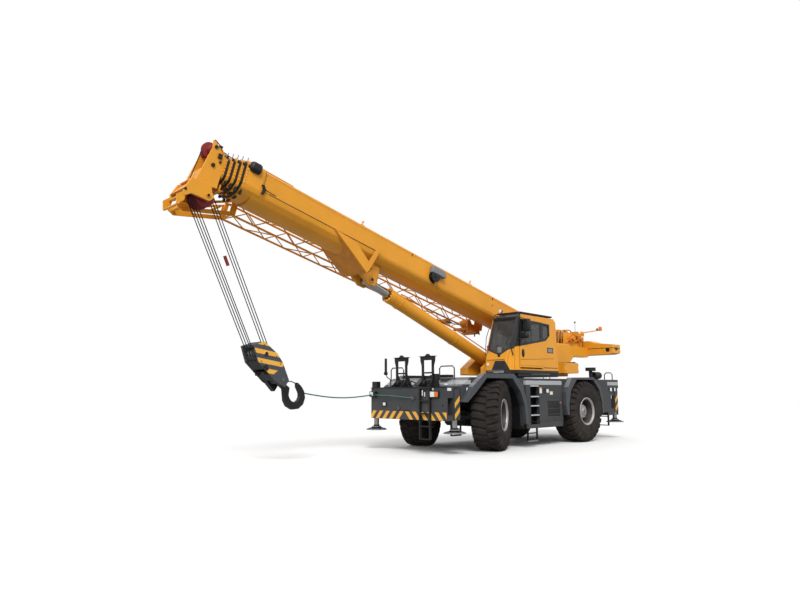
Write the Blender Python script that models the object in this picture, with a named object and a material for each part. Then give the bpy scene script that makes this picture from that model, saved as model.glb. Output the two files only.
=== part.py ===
# Rough terrain crane, metres, X forward, Y left, Z up, standing on the ground.
import math

import bmesh
import bpy
from mathutils import Vector
from mathutils.geometry import tessellate_polygon

for old in list(bpy.data.objects):
    bpy.data.objects.remove(old, do_unlink=True)

# Clearances.
SEAT_GAP = 0.0003
PAD_GAP = 0.001
SLIDE_GAP = 0.005

# Places in the vehicle frame. Its origin is under the slew axis, on the ground for these tyres;
# larger tyres lift the whole vehicle, since the axles hang from the wheel arches.
FRAME_SHIFT_X = -3.0
AXLE_FRONT_X = 2.23
AXLE_REAR_X = -2.16
TRACK = 2.55
KINGPIN_INBOARD = 0.20
STEER_REST_DEG = 23.8

# Wheels.
TYRE_R = 0.935
TYRE_HALF_W = 0.375
TYRE_LUG_H = 0.036
TYRE_LUGS = 16
TYRE_BEAD_R = 0.40
TYRE_BEAD_Y = 0.32
TYRE_WIDE_R = 0.68
TREAD_HALF_W = 0.325
RIM_SEGMENTS = 16
RIM_LIP_R = 0.43
RIM_HALF_W = 0.35
RIM_LIP_T = 0.0197
HUB_R = 0.17
HUB_BACK = 0.05
HUB_FRONT = 0.24
SOCKET_DEPTH = 0.10
SPINDLE_R = 0.10
KINGPIN_R = 0.04
KNUCKLE_R = 0.085
KNUCKLE_HALF_H = 0.13
YOKE_T = 0.05
YOKE_HALF_W = 0.09
YOKE_BACK = 0.235

# Carrier.
FRAME_HALF_W = 0.34
RAIL_T = 0.035
FRAME_TOP_Z = 1.90
DECK_PLATE_T = 0.04
ENGINE_BAY_X = (-3.56, -1.15)
ENGINE_X = (-3.40, -2.50)
ENGINE_Z = (1.30, 1.84)
FRAME_WELL_Z = 1.60
FRAME_WELL_X = 0.80
FRAME_LOW_Z = 0.62
FRONT_BOX_BACK_X = AXLE_FRONT_X + TYRE_R + 0.46
FRONT_BOX_X = (FRONT_BOX_BACK_X, FRONT_BOX_BACK_X + 0.50)
FRONT_BOX_Z = (0.84, 1.68)
REAR_BOX_FRONT_X = AXLE_REAR_X - TYRE_R - 0.755
REAR_BOX_X = (REAR_BOX_FRONT_X - 0.68, REAR_BOX_FRONT_X)
REAR_BOX_Z = (0.76, 1.65)
BOX_HALF_W = 1.41
BEAM_W = 0.19
BEAM_Z = (0.98, 1.40)
BEAM_LEN = 2.60
BEAM_PAD_L = 0.15
JACK_Y = 1.34
SLEEVE_Z = (0.86, 1.62)
POST_R = 0.07
POST_BORE_R = 0.075
FLOAT_R = 0.285
FLOAT_Z = (0.52, 0.60)
DECK_Z = 1.93
ARCH_TOP_Z = 1.90
ARCH_GAP = 0.03
ARCH_SIDE_GAP = 0.175
AXLE_Z = ARCH_TOP_Z - ARCH_GAP - TYRE_R
FRAME_ARCH_Z = AXLE_Z + 0.325
FRAME_NECK_Z = AXLE_Z + 0.305
DECK_HALF_W = 1.45
SIDE_BODY_Y = 1.50
LIP_Y = (1.42, 1.60)
WELL_R = 0.74

# Slewing upper part.
RING_R = 0.66
RING_BORE_R = 0.50
RING_TOP_Z = 1.955
RING_SEGMENTS = 24
FLOOR_Z = (2.04, 2.12)
FLOOR_X = (-2.82, 1.30)
FLOOR_HALF_W = 0.58
PLATE_Y = (0.50, 0.56)
NOSE_Y = (0.24, 0.52)
SLOT_HALF_W = 0.205
PIVOT_X = -1.85
PIVOT_Z = 2.74
PIVOT_PIN_R = 0.07
PIVOT_BOSS_R = 0.16
TAIL_Y = (0.30, 0.56)
TAIL_Z = (2.72, 3.05)
WEIGHT_FRONT_X = -4.20
WEIGHT_BACK_X = -4.75
WINCH_R = 0.25
WINCH_CORE_R = 0.20
WINCH_PLATE_Y = (0.42, 0.46)

# Boom; lengths run from the pivot along the boom, heights from its middle line.
BOOM_ANGLE_DEG = 14.0
BOOM_LINE_N = 0.4904
BOOM_TOP = 0.45
BOOM_HALF_W = 0.42
BOOM_BELLY = -0.32
BOOM_CORNER = 0.06
BELLY_ARC_STEPS = 8
SHELL_START_S = 7.75
SHELL_BELLY = -0.385
SHELL_GROW = 0.02
BASE_START_S = -0.35
BASE_END_S = 11.66
BASE_COLLAR_L = 0.47
BASE_COLLAR_GROW = 0.025
SECTION_STEP = 0.034
SECTION_WALL = 0.018
WEAR_PAD_L = 0.14
COLLAR_L = 0.10
COLLAR_GAP = 0.012
COLLAR_GROW = 0.03
HEAD_PLATE_Y = (0.26, 0.30)
HEAD_ARM_Y = (0.28, 0.34)
TOP_AXLE = (12.37, 0.43)
LOW_AXLE = (12.26, -0.66)
AXLE_R = 0.05
SHEAVE_R = 0.21
SHEAVE_GROOVE_R = 0.185
SHEAVE_PITCH = 0.105
SHEAVE_HALF_W = 0.04
SHEAVE_HUB_R = 0.09
SHEAVE_SEGMENTS = 12

# Lift cylinder.
CYLINDER_FOOT = (-0.16, 2.115)
FOOT_EYE_R = 0.14
FOOT_PIN_R = 0.06
FOOT_LUG_Y = (0.145, 0.25)
ROD_EYE_S = 7.568
ROD_EYE_N = -0.22
ROD_EYE_R = 0.105
ROD_EYE_HALF_W = 0.12
EAR_Y = (0.14, 0.20)
BARREL_R = 0.19
BARREL_BORE_R = 0.15
BARREL_START = 0.17
BARREL_END = 5.34
GLAND_GROW = 0.008
ROD_R = 0.105
ROD_START = 0.85
PISTON_L = 0.12

# Hook block and falls.
BLOCK_X = 8.588
BLOCK_Z = 2.378
BLOCK_TILT_DEG = 39.1
BLOCK_CHEEK_Y = (0.24, 0.28)
CROSSHEAD_U = 0.702
CROSSHEAD_R = 0.09
HOOK_CENTRE = (7.68, 1.484)
HOOK_HALF_T = 0.055
HOOK_SHANK_HALF_W = 0.055
ROPE_R = 0.011
ROPE_OFF_GROOVE = 0.0115

# Lattice extension on the right side of the boom.
JIB_Y = (-1.00, -0.50)
JIB_N = (-0.48, -0.02)
JIB_S = (2.60, 11.30)
JIB_BAYS = 8
JIB_WALL = 0.022
JIB_CHORD = 0.05
JIB_BRACE = 0.034

# Cab.
CAB_Y = (0.62, 1.50)
CAB_WALL = 0.05
CAB_FLOOR_Z = 2.06
DOOR_GAP = 0.006
DOOR_T = 0.03

SIDES = ((1, "left"), (-1, "right"))


def empty(name, place, parent=None, rotation=(0.0, 0.0, 0.0)):
    obj = bpy.data.objects.new(name, None)
    bpy.context.scene.collection.objects.link(obj)
    obj.location = place
    obj.rotation_euler = rotation
    obj.parent = parent
    return obj


ROOT = empty("crane_root", (FRAME_SHIFT_X, 0.0, TYRE_R - AXLE_Z))


def paint(name, colour, rough=0.5, metal=0.0):
    mat = bpy.data.materials.new(name)
    mat.use_nodes = True
    shader = mat.node_tree.nodes["Principled BSDF"]
    shader.inputs["Base Color"].default_value = (*colour, 1.0)
    shader.inputs["Roughness"].default_value = rough
    shader.inputs["Metallic"].default_value = metal
    return mat


COLOURS = {
    "yellow": (0.80, 0.38, 0.04),
    "grey": (0.06, 0.07, 0.08),
    "deck": (0.12, 0.14, 0.17),
    "tyre": (0.03, 0.028, 0.026),
    "rim": (0.55, 0.56, 0.57),
    "chrome": (0.6, 0.6, 0.6),
    "black": (0.01, 0.01, 0.01),
    "red": (0.25, 0.02, 0.02),
}


def moved(mesh, x=0.0, y=0.0, z=0.0):
    points, faces = mesh
    return [(p[0] + x, p[1] + y, p[2] + z) for p in points], faces


def flipped(mesh):
    points, faces = mesh
    return [(p[0], -p[1], p[2]) for p in points], [tuple(reversed(f)) for f in faces]


def on_side(mesh, side):
    return mesh if side > 0 else flipped(mesh)


def joined(meshes):
    points = []
    faces = []
    for some_points, some_faces in meshes:
        base = len(points)
        points.extend(some_points)
        faces.extend(tuple(base + i for i in face) for face in some_faces)
    return points, faces


def both_sides(mesh):
    return joined([mesh, flipped(mesh)])


def box(x, y, z):
    points = [(a, b, c) for c in z for b in y for a in x]
    faces = [(0, 2, 3, 1), (4, 5, 7, 6), (0, 1, 5, 4), (2, 6, 7, 3), (0, 4, 6, 2), (1, 3, 7, 5)]
    return points, faces


def prism(outline, low, high, axis="y", holes=()):
    # An outline in the plane across the axis, with holes, drawn out from low to high.
    rings = [list(outline)] + [list(hole) for hole in holes]
    flat = [point for ring in rings for point in ring]
    count = len(flat)

    def place(point, depth):
        a, b = point
        if axis == "y":
            return (a, depth, b)
        if axis == "x":
            return (depth, a, b)
        return (a, b, depth)

    points = [place(p, low) for p in flat] + [place(p, high) for p in flat]
    triangles = tessellate_polygon([[Vector((p[0], p[1], 0.0)) for p in ring] for ring in rings])
    faces = [tuple(t) for t in triangles] + [tuple(i + count for i in reversed(t)) for t in triangles]
    start = 0
    for ring in rings:
        size = len(ring)
        for i in range(size):
            j = (i + 1) % size
            faces.append((start + i, start + j, start + j + count, start + i + count))
        start += size
    return points, faces


def bore_for(radius, count):
    # The radius of a many-sided bore whose flats stand clear of a round pin of this radius.
    return (radius + PAD_GAP) / math.cos(math.pi / count)


def oblong(a, b):
    return [(a[0], b[0]), (a[1], b[0]), (a[1], b[1]), (a[0], b[1])]


def circle(centre, radius, count):
    turns = [2 * math.pi * i / count for i in range(count)]
    return [(centre[0] + radius * math.cos(t), centre[1] + radius * math.sin(t)) for t in turns]


def lathe(profile, count, axis="y"):
    # A closed profile of (along, radius) turned about the axis.
    points = []
    for i in range(count):
        t = 2 * math.pi * i / count
        for along, radius in profile:
            a = radius * math.cos(t)
            b = radius * math.sin(t)
            points.append({"y": (a, along, b), "x": (along, a, b), "z": (a, b, along)}[axis])
    size = len(profile)
    faces = []
    for i in range(count):
        k = (i + 1) % count
        for j in range(size):
            m = (j + 1) % size
            faces.append((i * size + j, i * size + m, k * size + m, k * size + j))
    return points, faces


def spun(profile, count, axis="y"):
    # An open profile of (along, radius) turned about the axis, closed by a flat disc at each end.
    points, faces = lathe(profile, count, axis)
    size = len(profile)
    walls = [f for i, f in enumerate(faces) if i % size != size - 1]
    first = tuple(i * size for i in range(count))
    last = tuple(i * size + size - 1 for i in range(count))
    return points, walls + [first, tuple(reversed(last))]


def disc(radius, low, high, count, axis="y", centre=(0.0, 0.0)):
    return prism(circle(centre, radius, count), low, high, axis)


def ring_disc(outer, inner, low, high, count, axis="z"):
    return prism(circle((0, 0), outer, count), low, high, axis, [circle((0, 0), inner, count)])


def tube_path(path, radius, count=6):
    # One closed tube along a list of places.
    path = [Vector(p) for p in path]
    points = []
    side = Vector((0.0, 1.0, 0.0))
    for i, place in enumerate(path):
        ahead = (path[min(i + 1, len(path) - 1)] - path[max(i - 1, 0)]).normalized()
        if abs(ahead.dot(side)) > 0.9:
            side = Vector((1.0, 0.0, 0.0))
        side = (side - ahead * side.dot(ahead)).normalized()
        up = ahead.cross(side)
        for k in range(count):
            t = 2 * math.pi * k / count
            points.append(tuple(place + (side * math.cos(t) + up * math.sin(t)) * radius))
    faces = []
    for i in range(len(path) - 1):
        for k in range(count):
            m = (k + 1) % count
            faces.append((i * count + k, i * count + m, (i + 1) * count + m, (i + 1) * count + k))
    last = (len(path) - 1) * count
    faces.append(tuple(reversed(range(count))))
    faces.append(tuple(last + k for k in range(count)))
    return points, faces


def mesh_object(name, mesh):
    points, faces = mesh
    data = bpy.data.meshes.new(name)
    data.from_pydata([tuple(p) for p in points], [], faces)
    bm = bmesh.new()
    bm.from_mesh(data)
    bmesh.ops.recalc_face_normals(bm, faces=bm.faces[:])
    bm.to_mesh(data)
    bm.free()
    obj = bpy.data.objects.new(name, data)
    bpy.context.scene.collection.objects.link(obj)
    return obj


def node(name, colour, base, adds=(), cuts=(), parent=None, origin=(0.0, 0.0, 0.0), solver="EXACT"):
    # One piece: a base with shapes added and cut, its points given from the parent's origin.
    shift = Vector(origin)
    obj = mesh_object(name, moved(base, *(-shift)))
    helpers = []
    for kind, shapes in (("UNION", adds), ("DIFFERENCE", cuts)):
        for shape in shapes:
            helper = mesh_object(name + "_shape", moved(shape, *(-shift)))
            change = obj.modifiers.new("shape", "BOOLEAN")
            change.operation = kind
            change.solver = solver
            change.object = helper
            helpers.append(helper)
    if helpers:
        bpy.context.view_layer.update()
        graph = bpy.context.evaluated_depsgraph_get()
        made = bpy.data.meshes.new_from_object(obj.evaluated_get(graph))
        obj.modifiers.clear()
        obj.data = made
        for helper in helpers:
            bpy.data.objects.remove(helper, do_unlink=True)
    obj.data.materials.clear()
    obj.data.materials.append(paint(name, COLOURS[colour]))
    obj.data.shade_smooth()
    obj.data.set_sharp_from_angle(angle=math.radians(32.0))
    obj.parent = parent or ROOT
    obj.location = shift
    return obj


# Outriggers: each beam runs in its own channel of the front or rear box.
OUTRIGGERS = (
    ("front_left", FRONT_BOX_X[0] + 0.137, 1),
    ("front_right", FRONT_BOX_X[0] + 0.363, -1),
    ("rear_left", REAR_BOX_X[0] + 0.130, 1),
    ("rear_right", REAR_BOX_X[0] + 0.356, -1),
)


def channel(x, side):
    half = BEAM_W / 2 + SLIDE_GAP
    bore = box((x - half, x + half), (-2.0, 2.0), (BEAM_Z[0] - SLIDE_GAP, BEAM_Z[1] + SLIDE_GAP))
    slot_y = sorted((side * (JACK_Y - BEAM_W / 2 - 0.03), side * 2.0))
    return bore, box((x - half, x + half), slot_y, (0.5, 2.0))


# Carrier frame: a box between the axles, necks over them, a well for the slew ring.
frame_front_x = FRONT_BOX_X[0] + 0.015
frame_rear_x = REAR_BOX_X[1] - 0.01
frame_tail_x = REAR_BOX_X[0] + 0.01
frame_side = [
    (frame_rear_x, FRAME_ARCH_Z), (-1.08, FRAME_ARCH_Z), (-0.92, FRAME_LOW_Z), (0.98, FRAME_LOW_Z),
    (1.14, FRAME_NECK_Z), (frame_front_x, FRAME_NECK_Z), (frame_front_x, 1.66), (frame_front_x - 0.34, FRAME_TOP_Z),
    (FRAME_WELL_X, FRAME_TOP_Z), (FRAME_WELL_X, FRAME_WELL_Z), (-FRAME_WELL_X, FRAME_WELL_Z),
    (-FRAME_WELL_X, FRAME_TOP_Z), (frame_tail_x, FRAME_TOP_Z), (frame_tail_x, 1.60), (frame_rear_x, 1.60),
]
rail_inner = FRAME_HALF_W - RAIL_T
engine_bay = box(ENGINE_BAY_X, (-rail_inner, rail_inner), (1.0, FRAME_TOP_Z - DECK_PLATE_T))
front_box = box(FRONT_BOX_X, (-BOX_HALF_W, BOX_HALF_W), FRONT_BOX_Z)
rear_box = box(REAR_BOX_X, (-BOX_HALF_W, BOX_HALF_W), REAR_BOX_Z)
channels = []
for word, x, side in OUTRIGGERS:
    channels.extend(channel(x, side))
node("chassis_frame", "grey", prism(frame_side, -FRAME_HALF_W, FRAME_HALF_W),
     adds=[front_box, rear_box], cuts=[engine_bay] + channels)
engine_half_w = rail_inner - SEAT_GAP
node("engine_block", "black", box(ENGINE_X, (-engine_half_w, engine_half_w), ENGINE_Z))

for word, x, side in OUTRIGGERS:
    half = BEAM_W / 2
    y_end = JACK_Y + half
    beam = on_side(box((x - half, x + half), (y_end - BEAM_LEN, y_end), BEAM_Z), side)
    sleeve = on_side(box((x - half, x + half), (JACK_Y - half, y_end + 0.001), SLEEVE_Z), side)
    pad_x = half + SLIDE_GAP - PAD_GAP
    pad_z = (BEAM_Z[0] - SLIDE_GAP + PAD_GAP, BEAM_Z[1] + SLIDE_GAP - PAD_GAP)
    pad_y = (y_end - BEAM_LEN - 0.01, y_end - BEAM_LEN + BEAM_PAD_L)
    pad = on_side(box((x - pad_x, x + pad_x), pad_y, pad_z), side)
    bore = disc(POST_BORE_R, 0.5, 2.0, 16, "z", (x, side * JACK_Y))
    node(f"outrigger_beam_{word}", "grey", beam, adds=[sleeve, pad], cuts=[bore])
    at = (x, side * JACK_Y)
    post = [(FLOAT_Z[0], FLOAT_R), (FLOAT_Z[1], FLOAT_R), (0.64, 0.15), (0.66, POST_R), (1.50, POST_R),
            (1.50, POST_BORE_R - PAD_GAP), (1.59, POST_BORE_R - PAD_GAP)]
    node(f"jack_{word}", "rim", moved(spun(post, 16, "z"), *at), origin=(*at, 0.56))

# Side bodies: decks, wheel arches, steps, louvres and fender lips.
reach = TYRE_R + ARCH_SIDE_GAP
front_back_x = AXLE_FRONT_X - reach - 0.02
front_end_x = AXLE_FRONT_X + reach
rear_back_x = AXLE_REAR_X - reach
rear_end_x = AXLE_REAR_X + reach
body_outline = [
    (FRONT_BOX_X[0] - SEAT_GAP, 1.30), (FRONT_BOX_X[0] - SEAT_GAP, 1.70), (FRONT_BOX_X[0] - 0.375, DECK_Z),
    (REAR_BOX_X[0], DECK_Z), (REAR_BOX_X[0], REAR_BOX_Z[1] + SEAT_GAP), (REAR_BOX_X[1] + SEAT_GAP, REAR_BOX_Z[1] + SEAT_GAP),
    (REAR_BOX_X[1] + SEAT_GAP, 0.86), (rear_back_x, 0.86), (rear_back_x, 1.15), (rear_back_x + 0.18, 1.54),
    (rear_back_x + 0.57, ARCH_TOP_Z), (rear_end_x - 0.57, ARCH_TOP_Z), (rear_end_x - 0.18, 1.54), (rear_end_x, 1.15),
    (rear_end_x, 0.60), (rear_end_x + 0.09, 0.52), (front_back_x - 0.14, 0.52), (front_back_x - 0.03, 0.60),
    (front_back_x, 1.15), (front_back_x + 0.18, 1.54), (front_back_x + 0.55, ARCH_TOP_Z),
    (front_end_x - 0.59, ARCH_TOP_Z), (front_end_x - 0.18, 1.54), (front_end_x + 0.16, 1.30),
]
# The lips that stand out from the arches, as (beyond the arch's end, height).
FRONT_LIP_AHEAD = ((0.20, 1.29), (0.32, 1.30), (-0.04, 1.72), (-0.50, 2.03))
FRONT_LIP_BEHIND = ((0.48, 2.04), (0.07, 1.735), (-0.11, 1.15), (-0.175, 0.66), (-0.04, 0.66), (0.01, 1.16),
                    (0.19, 1.55), (0.54, 1.91))
FRONT_LIP_UNDER = ((-0.58, 1.91), (-0.15, 1.55))
REAR_LIP_AHEAD = ((-0.02, 0.85), (0.05, 1.15), (0.03, 1.54), (-0.33, 1.97))
REAR_LIP_BEHIND = ((0.61, 1.99), (0.21, 1.71), (0.04, 1.20), (0.04, 0.85), (0.12, 0.85), (0.12, 1.15), (0.265, 1.58),
                   (0.62, 1.912))
REAR_LIP_UNDER = ((-0.60, 1.912), (-0.25, 1.58), (-0.12, 1.15), (-0.12, 0.85))


def beside(x, places):
    return [(x + along, height) for along, height in places]


front_lip = beside(front_end_x, FRONT_LIP_AHEAD) + beside(front_back_x, FRONT_LIP_BEHIND)
front_lip += beside(front_end_x, FRONT_LIP_UNDER)
rear_lip = beside(rear_end_x, REAR_LIP_AHEAD) + beside(rear_back_x, REAR_LIP_BEHIND)
rear_lip += beside(rear_end_x, REAR_LIP_UNDER)
STEP_RECESS_X = (0.27, 0.69)
STEP_RECESS_Z = ((0.63, 0.87), (0.91, 1.13), (1.17, 1.39), (1.43, 1.69))
LOUVRE_X = (rear_end_x + 0.25, rear_end_x + 0.89)
LOUVRE_Z = (0.84, 1.30)
LOUVRES = 6
RAIL_TUBE_R = 0.018


def hoop(x, y, low, top, corner=0.06):
    return tube_path([
        (x, y[0], low), (x, y[0], top - corner), (x, y[0] + corner, top), (x, y[1] - corner, top),
        (x, y[1], top - corner), (x, y[1], low),
    ], RAIL_TUBE_R, 5)


def ladder(y, z, rungs, rail, rung):
    # Two rails and rungs as one outline with a hole between each pair of rungs.
    pitch = (z[1] - z[0] - rung) / (rungs - 1)
    gaps = [oblong((y[0] + rail, y[1] - rail), (z[0] + pitch * i + rung, z[0] + pitch * (i + 1)))
            for i in range(rungs - 1)]
    return oblong(y, z), gaps


for side, word in SIDES:
    body = prism(body_outline, FRAME_HALF_W + SEAT_GAP, DECK_HALF_W)
    side_box = box((rear_end_x + 0.11, front_back_x - 0.18), (1.40, SIDE_BODY_Y), (0.53, 1.85))
    steps_outline, steps_gaps = ladder((0.32, 0.80), (0.18, 0.60), 3, 0.03, 0.03)
    hanging_steps = prism(steps_outline, 1.41, 1.46, holes=steps_gaps)
    recess = joined([box(STEP_RECESS_X, (1.28, 1.8), z) for z in STEP_RECESS_Z])
    pitch = (LOUVRE_Z[1] - LOUVRE_Z[0]) / LOUVRES
    louvres = joined([
        box(LOUVRE_X, (SIDE_BODY_Y - 0.02, 1.8), (LOUVRE_Z[0] + pitch * i, LOUVRE_Z[0] + pitch * (i + 0.55)))
        for i in range(LOUVRES)
    ])
    adds = [
        side_box, prism(front_lip, *LIP_Y), prism(rear_lip, *LIP_Y), hanging_steps,
        hoop(FRONT_BOX_X[0] - 0.05, (0.68, 1.19), 1.70, 2.22), hoop(REAR_BOX_X[0] + 0.23, (1.09, 1.37), 1.90, 2.17),
    ]
    cuts = [disc(WELL_R, FRAME_WELL_Z, 2.2, 32, "z"), recess, louvres]
    node(f"carrier_body_{word}", "deck", on_side(body, side),
         adds=[on_side(m, side) for m in adds], cuts=[on_side(m, side) for m in cuts])

# Axles, knuckles, rims and tyres.
WHEELS = (
    ("front_left", AXLE_FRONT_X, 1, STEER_REST_DEG),
    ("front_right", AXLE_FRONT_X, -1, STEER_REST_DEG),
    ("rear_left", AXLE_REAR_X, 1, 0.0),
    ("rear_right", AXLE_REAR_X, -1, 0.0),
)
kingpin_y = TRACK / 2 - KINGPIN_INBOARD
yoke_z = (KNUCKLE_HALF_H + SLIDE_GAP, KNUCKLE_HALF_H + SLIDE_GAP + YOKE_T)
for name, x in (("front_axle", AXLE_FRONT_X), ("rear_axle", AXLE_REAR_X)):
    end = kingpin_y - YOKE_BACK
    core = spun([(-end, 0.11), (-0.42, 0.13), (-0.25, 0.27), (0.25, 0.27), (0.42, 0.13), (end, 0.11)], 12)
    yokes = []
    for side, word in SIDES:
        yokes.append(on_side(box((-YOKE_HALF_W, YOKE_HALF_W), (end - 0.04, end + 0.09), (-yoke_z[1], yoke_z[1])), side))
        for up in (1, -1):
            arm_z = sorted((up * yoke_z[0], up * yoke_z[1]))
            yokes.append(on_side(box((-0.075, 0.075), (kingpin_y - 0.16, kingpin_y + 0.075), arm_z), side))
        yokes.append(disc(KINGPIN_R, -yoke_z[1] + 0.001, yoke_z[1] - 0.001, 12, "z", (0.0, side * kingpin_y)))
    node(name, "grey", moved(core, x, 0.0, AXLE_Z), adds=[moved(m, x, 0.0, AXLE_Z) for m in yokes],
         origin=(x, 0.0, AXLE_Z))

LUG_STEPS = ((0.0, 1), (0.42, 1), (0.50, 0), (0.92, 0))


def tyre_mesh(side):
    # Lugs on the outer half of the tread stand between those on the inner half.
    tread = TYRE_R - TYRE_LUG_H
    rings = []
    for i in range(TYRE_LUGS):
        for along, outer_high in LUG_STEPS:
            outer, inner = (TYRE_R, tread) if outer_high else (tread, TYRE_R)
            ring = [
                (TYRE_BEAD_Y, TYRE_BEAD_R), (TYRE_HALF_W, TYRE_WIDE_R), (TREAD_HALF_W, outer), (0.0, outer),
                (-0.0001, inner), (-TREAD_HALF_W, inner), (-TYRE_HALF_W, TYRE_WIDE_R), (-TYRE_BEAD_Y, TYRE_BEAD_R),
            ]
            rings.append((2 * math.pi * (i + along) / TYRE_LUGS, ring))
    points = []
    for turn, ring in rings:
        for along, radius in ring:
            points.append((radius * math.cos(turn), along * side, radius * math.sin(turn)))
    size = len(rings[0][1])
    faces = []
    for i in range(len(rings)):
        k = (i + 1) % len(rings)
        for j in range(size):
            m = (j + 1) % size
            faces.append((i * size + j, i * size + m, k * size + m, k * size + j))
    return points, faces


seat_r = TYRE_BEAD_R * math.cos(math.pi / (TYRE_LUGS * 2)) ** 2 - PAD_GAP
socket_r = bore_for(SPINDLE_R, RIM_SEGMENTS)
lip_y = RIM_HALF_W - RIM_LIP_T
rim_profile = [
    (HUB_BACK + SOCKET_DEPTH, socket_r), (HUB_BACK, socket_r), (HUB_BACK, HUB_R), (0.12, 0.33),
    (-RIM_HALF_W, 0.36), (-RIM_HALF_W, RIM_LIP_R), (-lip_y, RIM_LIP_R), (-lip_y, seat_r), (lip_y, seat_r),
    (lip_y, RIM_LIP_R), (RIM_HALF_W, RIM_LIP_R), (RIM_HALF_W, 0.37), (0.17, 0.33), (HUB_FRONT, HUB_R),
]
for name, x, side, steer in WHEELS:
    pin = empty("kingpin_" + name, (x, side * kingpin_y, AXLE_Z), ROOT, (0.0, 0.0, math.radians(steer)))
    upright = disc(KNUCKLE_R, -KNUCKLE_HALF_H, KNUCKLE_HALF_H, 12, "z")
    spindle_end = KINGPIN_INBOARD + HUB_BACK + SOCKET_DEPTH - SLIDE_GAP
    spindle = on_side(disc(SPINDLE_R, KINGPIN_R + 0.02, spindle_end, RIM_SEGMENTS, "y"), side)
    node("knuckle_" + name, "grey", upright, adds=[spindle],
         cuts=[disc(bore_for(KINGPIN_R, 12), -0.2, 0.2, 12, "z")], parent=pin)
    wheel = empty("wheel_" + name, (0.0, KINGPIN_INBOARD * side, 0.0), pin)
    rim = spun([(a * side, r) for a, r in rim_profile], RIM_SEGMENTS)
    node("rim_" + name, "rim", rim, parent=wheel)
    node("tyre_" + name, "tyre", tyre_mesh(side), parent=wheel)

# Slew ring and turntable.
node("slew_ring", "grey", ring_disc(RING_R, RING_BORE_R, FRAME_WELL_Z + SEAT_GAP, RING_TOP_Z, RING_SEGMENTS))
collar = ring_disc(RING_R, RING_BORE_R, RING_TOP_Z + SEAT_GAP, FLOOR_Z[0] + 0.02, RING_SEGMENTS)
plate_outline = [
    (1.32, 2.05), (1.32, 2.24), (0.80, 2.58), (-0.60, 2.66), (-1.30, 3.10), (-1.55, 3.13), (-2.89, 3.13),
    (-3.15, 2.91), (-3.19, 2.67), (-2.90, 2.42), (-2.81, 2.05),
]
nose_outline = [(1.34, 2.06), (1.34, 2.25), (0.79, 2.60), (-0.30, 2.60), (-0.42, 2.06)]
winch_plate = [(-2.84, 3.02), (-2.86, 3.52), (-3.90, 3.56), (-3.98, 3.40), (-3.98, 3.02)]
tail_beam = box((WEIGHT_FRONT_X + SEAT_GAP, -2.92), TAIL_Y, TAIL_Z)
tail_floor = box((-4.15, -2.95), (-0.40, 0.40), (TAIL_Z[0] + 0.02, TAIL_Z[0] + 0.06))
lug_outline = [(-0.30, 2.09), (-0.30, 2.20), (-0.22, 2.26), (-0.10, 2.26), (-0.02, 2.20), (-0.02, 2.09)]
foot_lug = prism(lug_outline, *FOOT_LUG_Y)
pivot_boss = disc(PIVOT_BOSS_R, 0.445, 0.60, 16, "y", (PIVOT_X, PIVOT_Z))
pivot_pin = disc(PIVOT_PIN_R, -0.61, 0.61, 16, "y", (PIVOT_X, PIVOT_Z))
foot_pin = disc(FOOT_PIN_R, -FOOT_LUG_Y[1] - 0.02, FOOT_LUG_Y[1] + 0.02, 16, "y", CYLINDER_FOOT)
tail_box = box((-2.78, -1.95), (0.55, 1.00), (2.13, 2.46))
slot_x = CYLINDER_FOOT[0] - 0.20
collar_slot = box((0.0, 1.0), (-SLOT_HALF_W, SLOT_HALF_W), (1.90, 2.30))
floor_outline = [
    (FLOOR_X[0], -FLOOR_HALF_W), (FLOOR_X[1], -FLOOR_HALF_W), (FLOOR_X[1], -SLOT_HALF_W), (slot_x, -SLOT_HALF_W),
    (slot_x, SLOT_HALF_W), (FLOOR_X[1], SLOT_HALF_W), (FLOOR_X[1], FLOOR_HALF_W), (FLOOR_X[0], FLOOR_HALF_W),
]
node(
    "turntable_frame", "yellow", prism(floor_outline, *FLOOR_Z, "z"),
    adds=[
        collar, both_sides(prism(plate_outline, *PLATE_Y)), both_sides(prism(nose_outline, *NOSE_Y)),
        both_sides(tail_beam), both_sides(prism(winch_plate, *WINCH_PLATE_Y)), tail_floor,
        both_sides(pivot_boss), pivot_pin, tail_box, both_sides(foot_lug), foot_pin,
    ],
    cuts=[collar_slot],
)
weight_outline = [
    (-1.48, 2.84), (-1.30, 2.80), (1.30, 2.80), (1.48, 2.84), (1.48, 3.13), (0.86, 3.20), (0.60, 3.29),
    (-0.60, 3.29), (-0.86, 3.20), (-1.48, 3.13),
]
slot_holes = [[(s * 1.31 + 0.045 * math.cos(t * math.pi / 6), 2.95 + 0.07 * math.sin(t * math.pi / 6))
               for t in range(0, 12, 2)] for s in (1, -1)]
seam = joined([
    box((WEIGHT_FRONT_X - 0.012, WEIGHT_FRONT_X + 0.1), (-1.6, 1.6), (3.005, 3.017)),
    box((WEIGHT_BACK_X - 0.1, WEIGHT_BACK_X + 0.012), (-1.6, 1.6), (3.005, 3.017)),
])
node("counterweight", "yellow", prism(weight_outline, WEIGHT_BACK_X, WEIGHT_FRONT_X, "x", holes=slot_holes),
     cuts=[seam])

# Winch drums between their plates.
WINCHES = (("main", -3.20, 3.33), ("auxiliary", -3.72, 3.33))
for word, x, z in WINCHES:
    end = WINCH_PLATE_Y[0] - SEAT_GAP
    drum = [
        (-end, 0.08), (-0.37, 0.08), (-0.37, WINCH_R), (-0.34, WINCH_R), (-0.34, WINCH_CORE_R),
        (0.34, WINCH_CORE_R), (0.34, WINCH_R), (0.37, WINCH_R), (0.37, 0.08), (end, 0.08),
    ]
    node("winch_drum_" + word, "grey", moved(spun(drum, 14), x, 0.0, z), origin=(x, 0.0, z))

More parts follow.
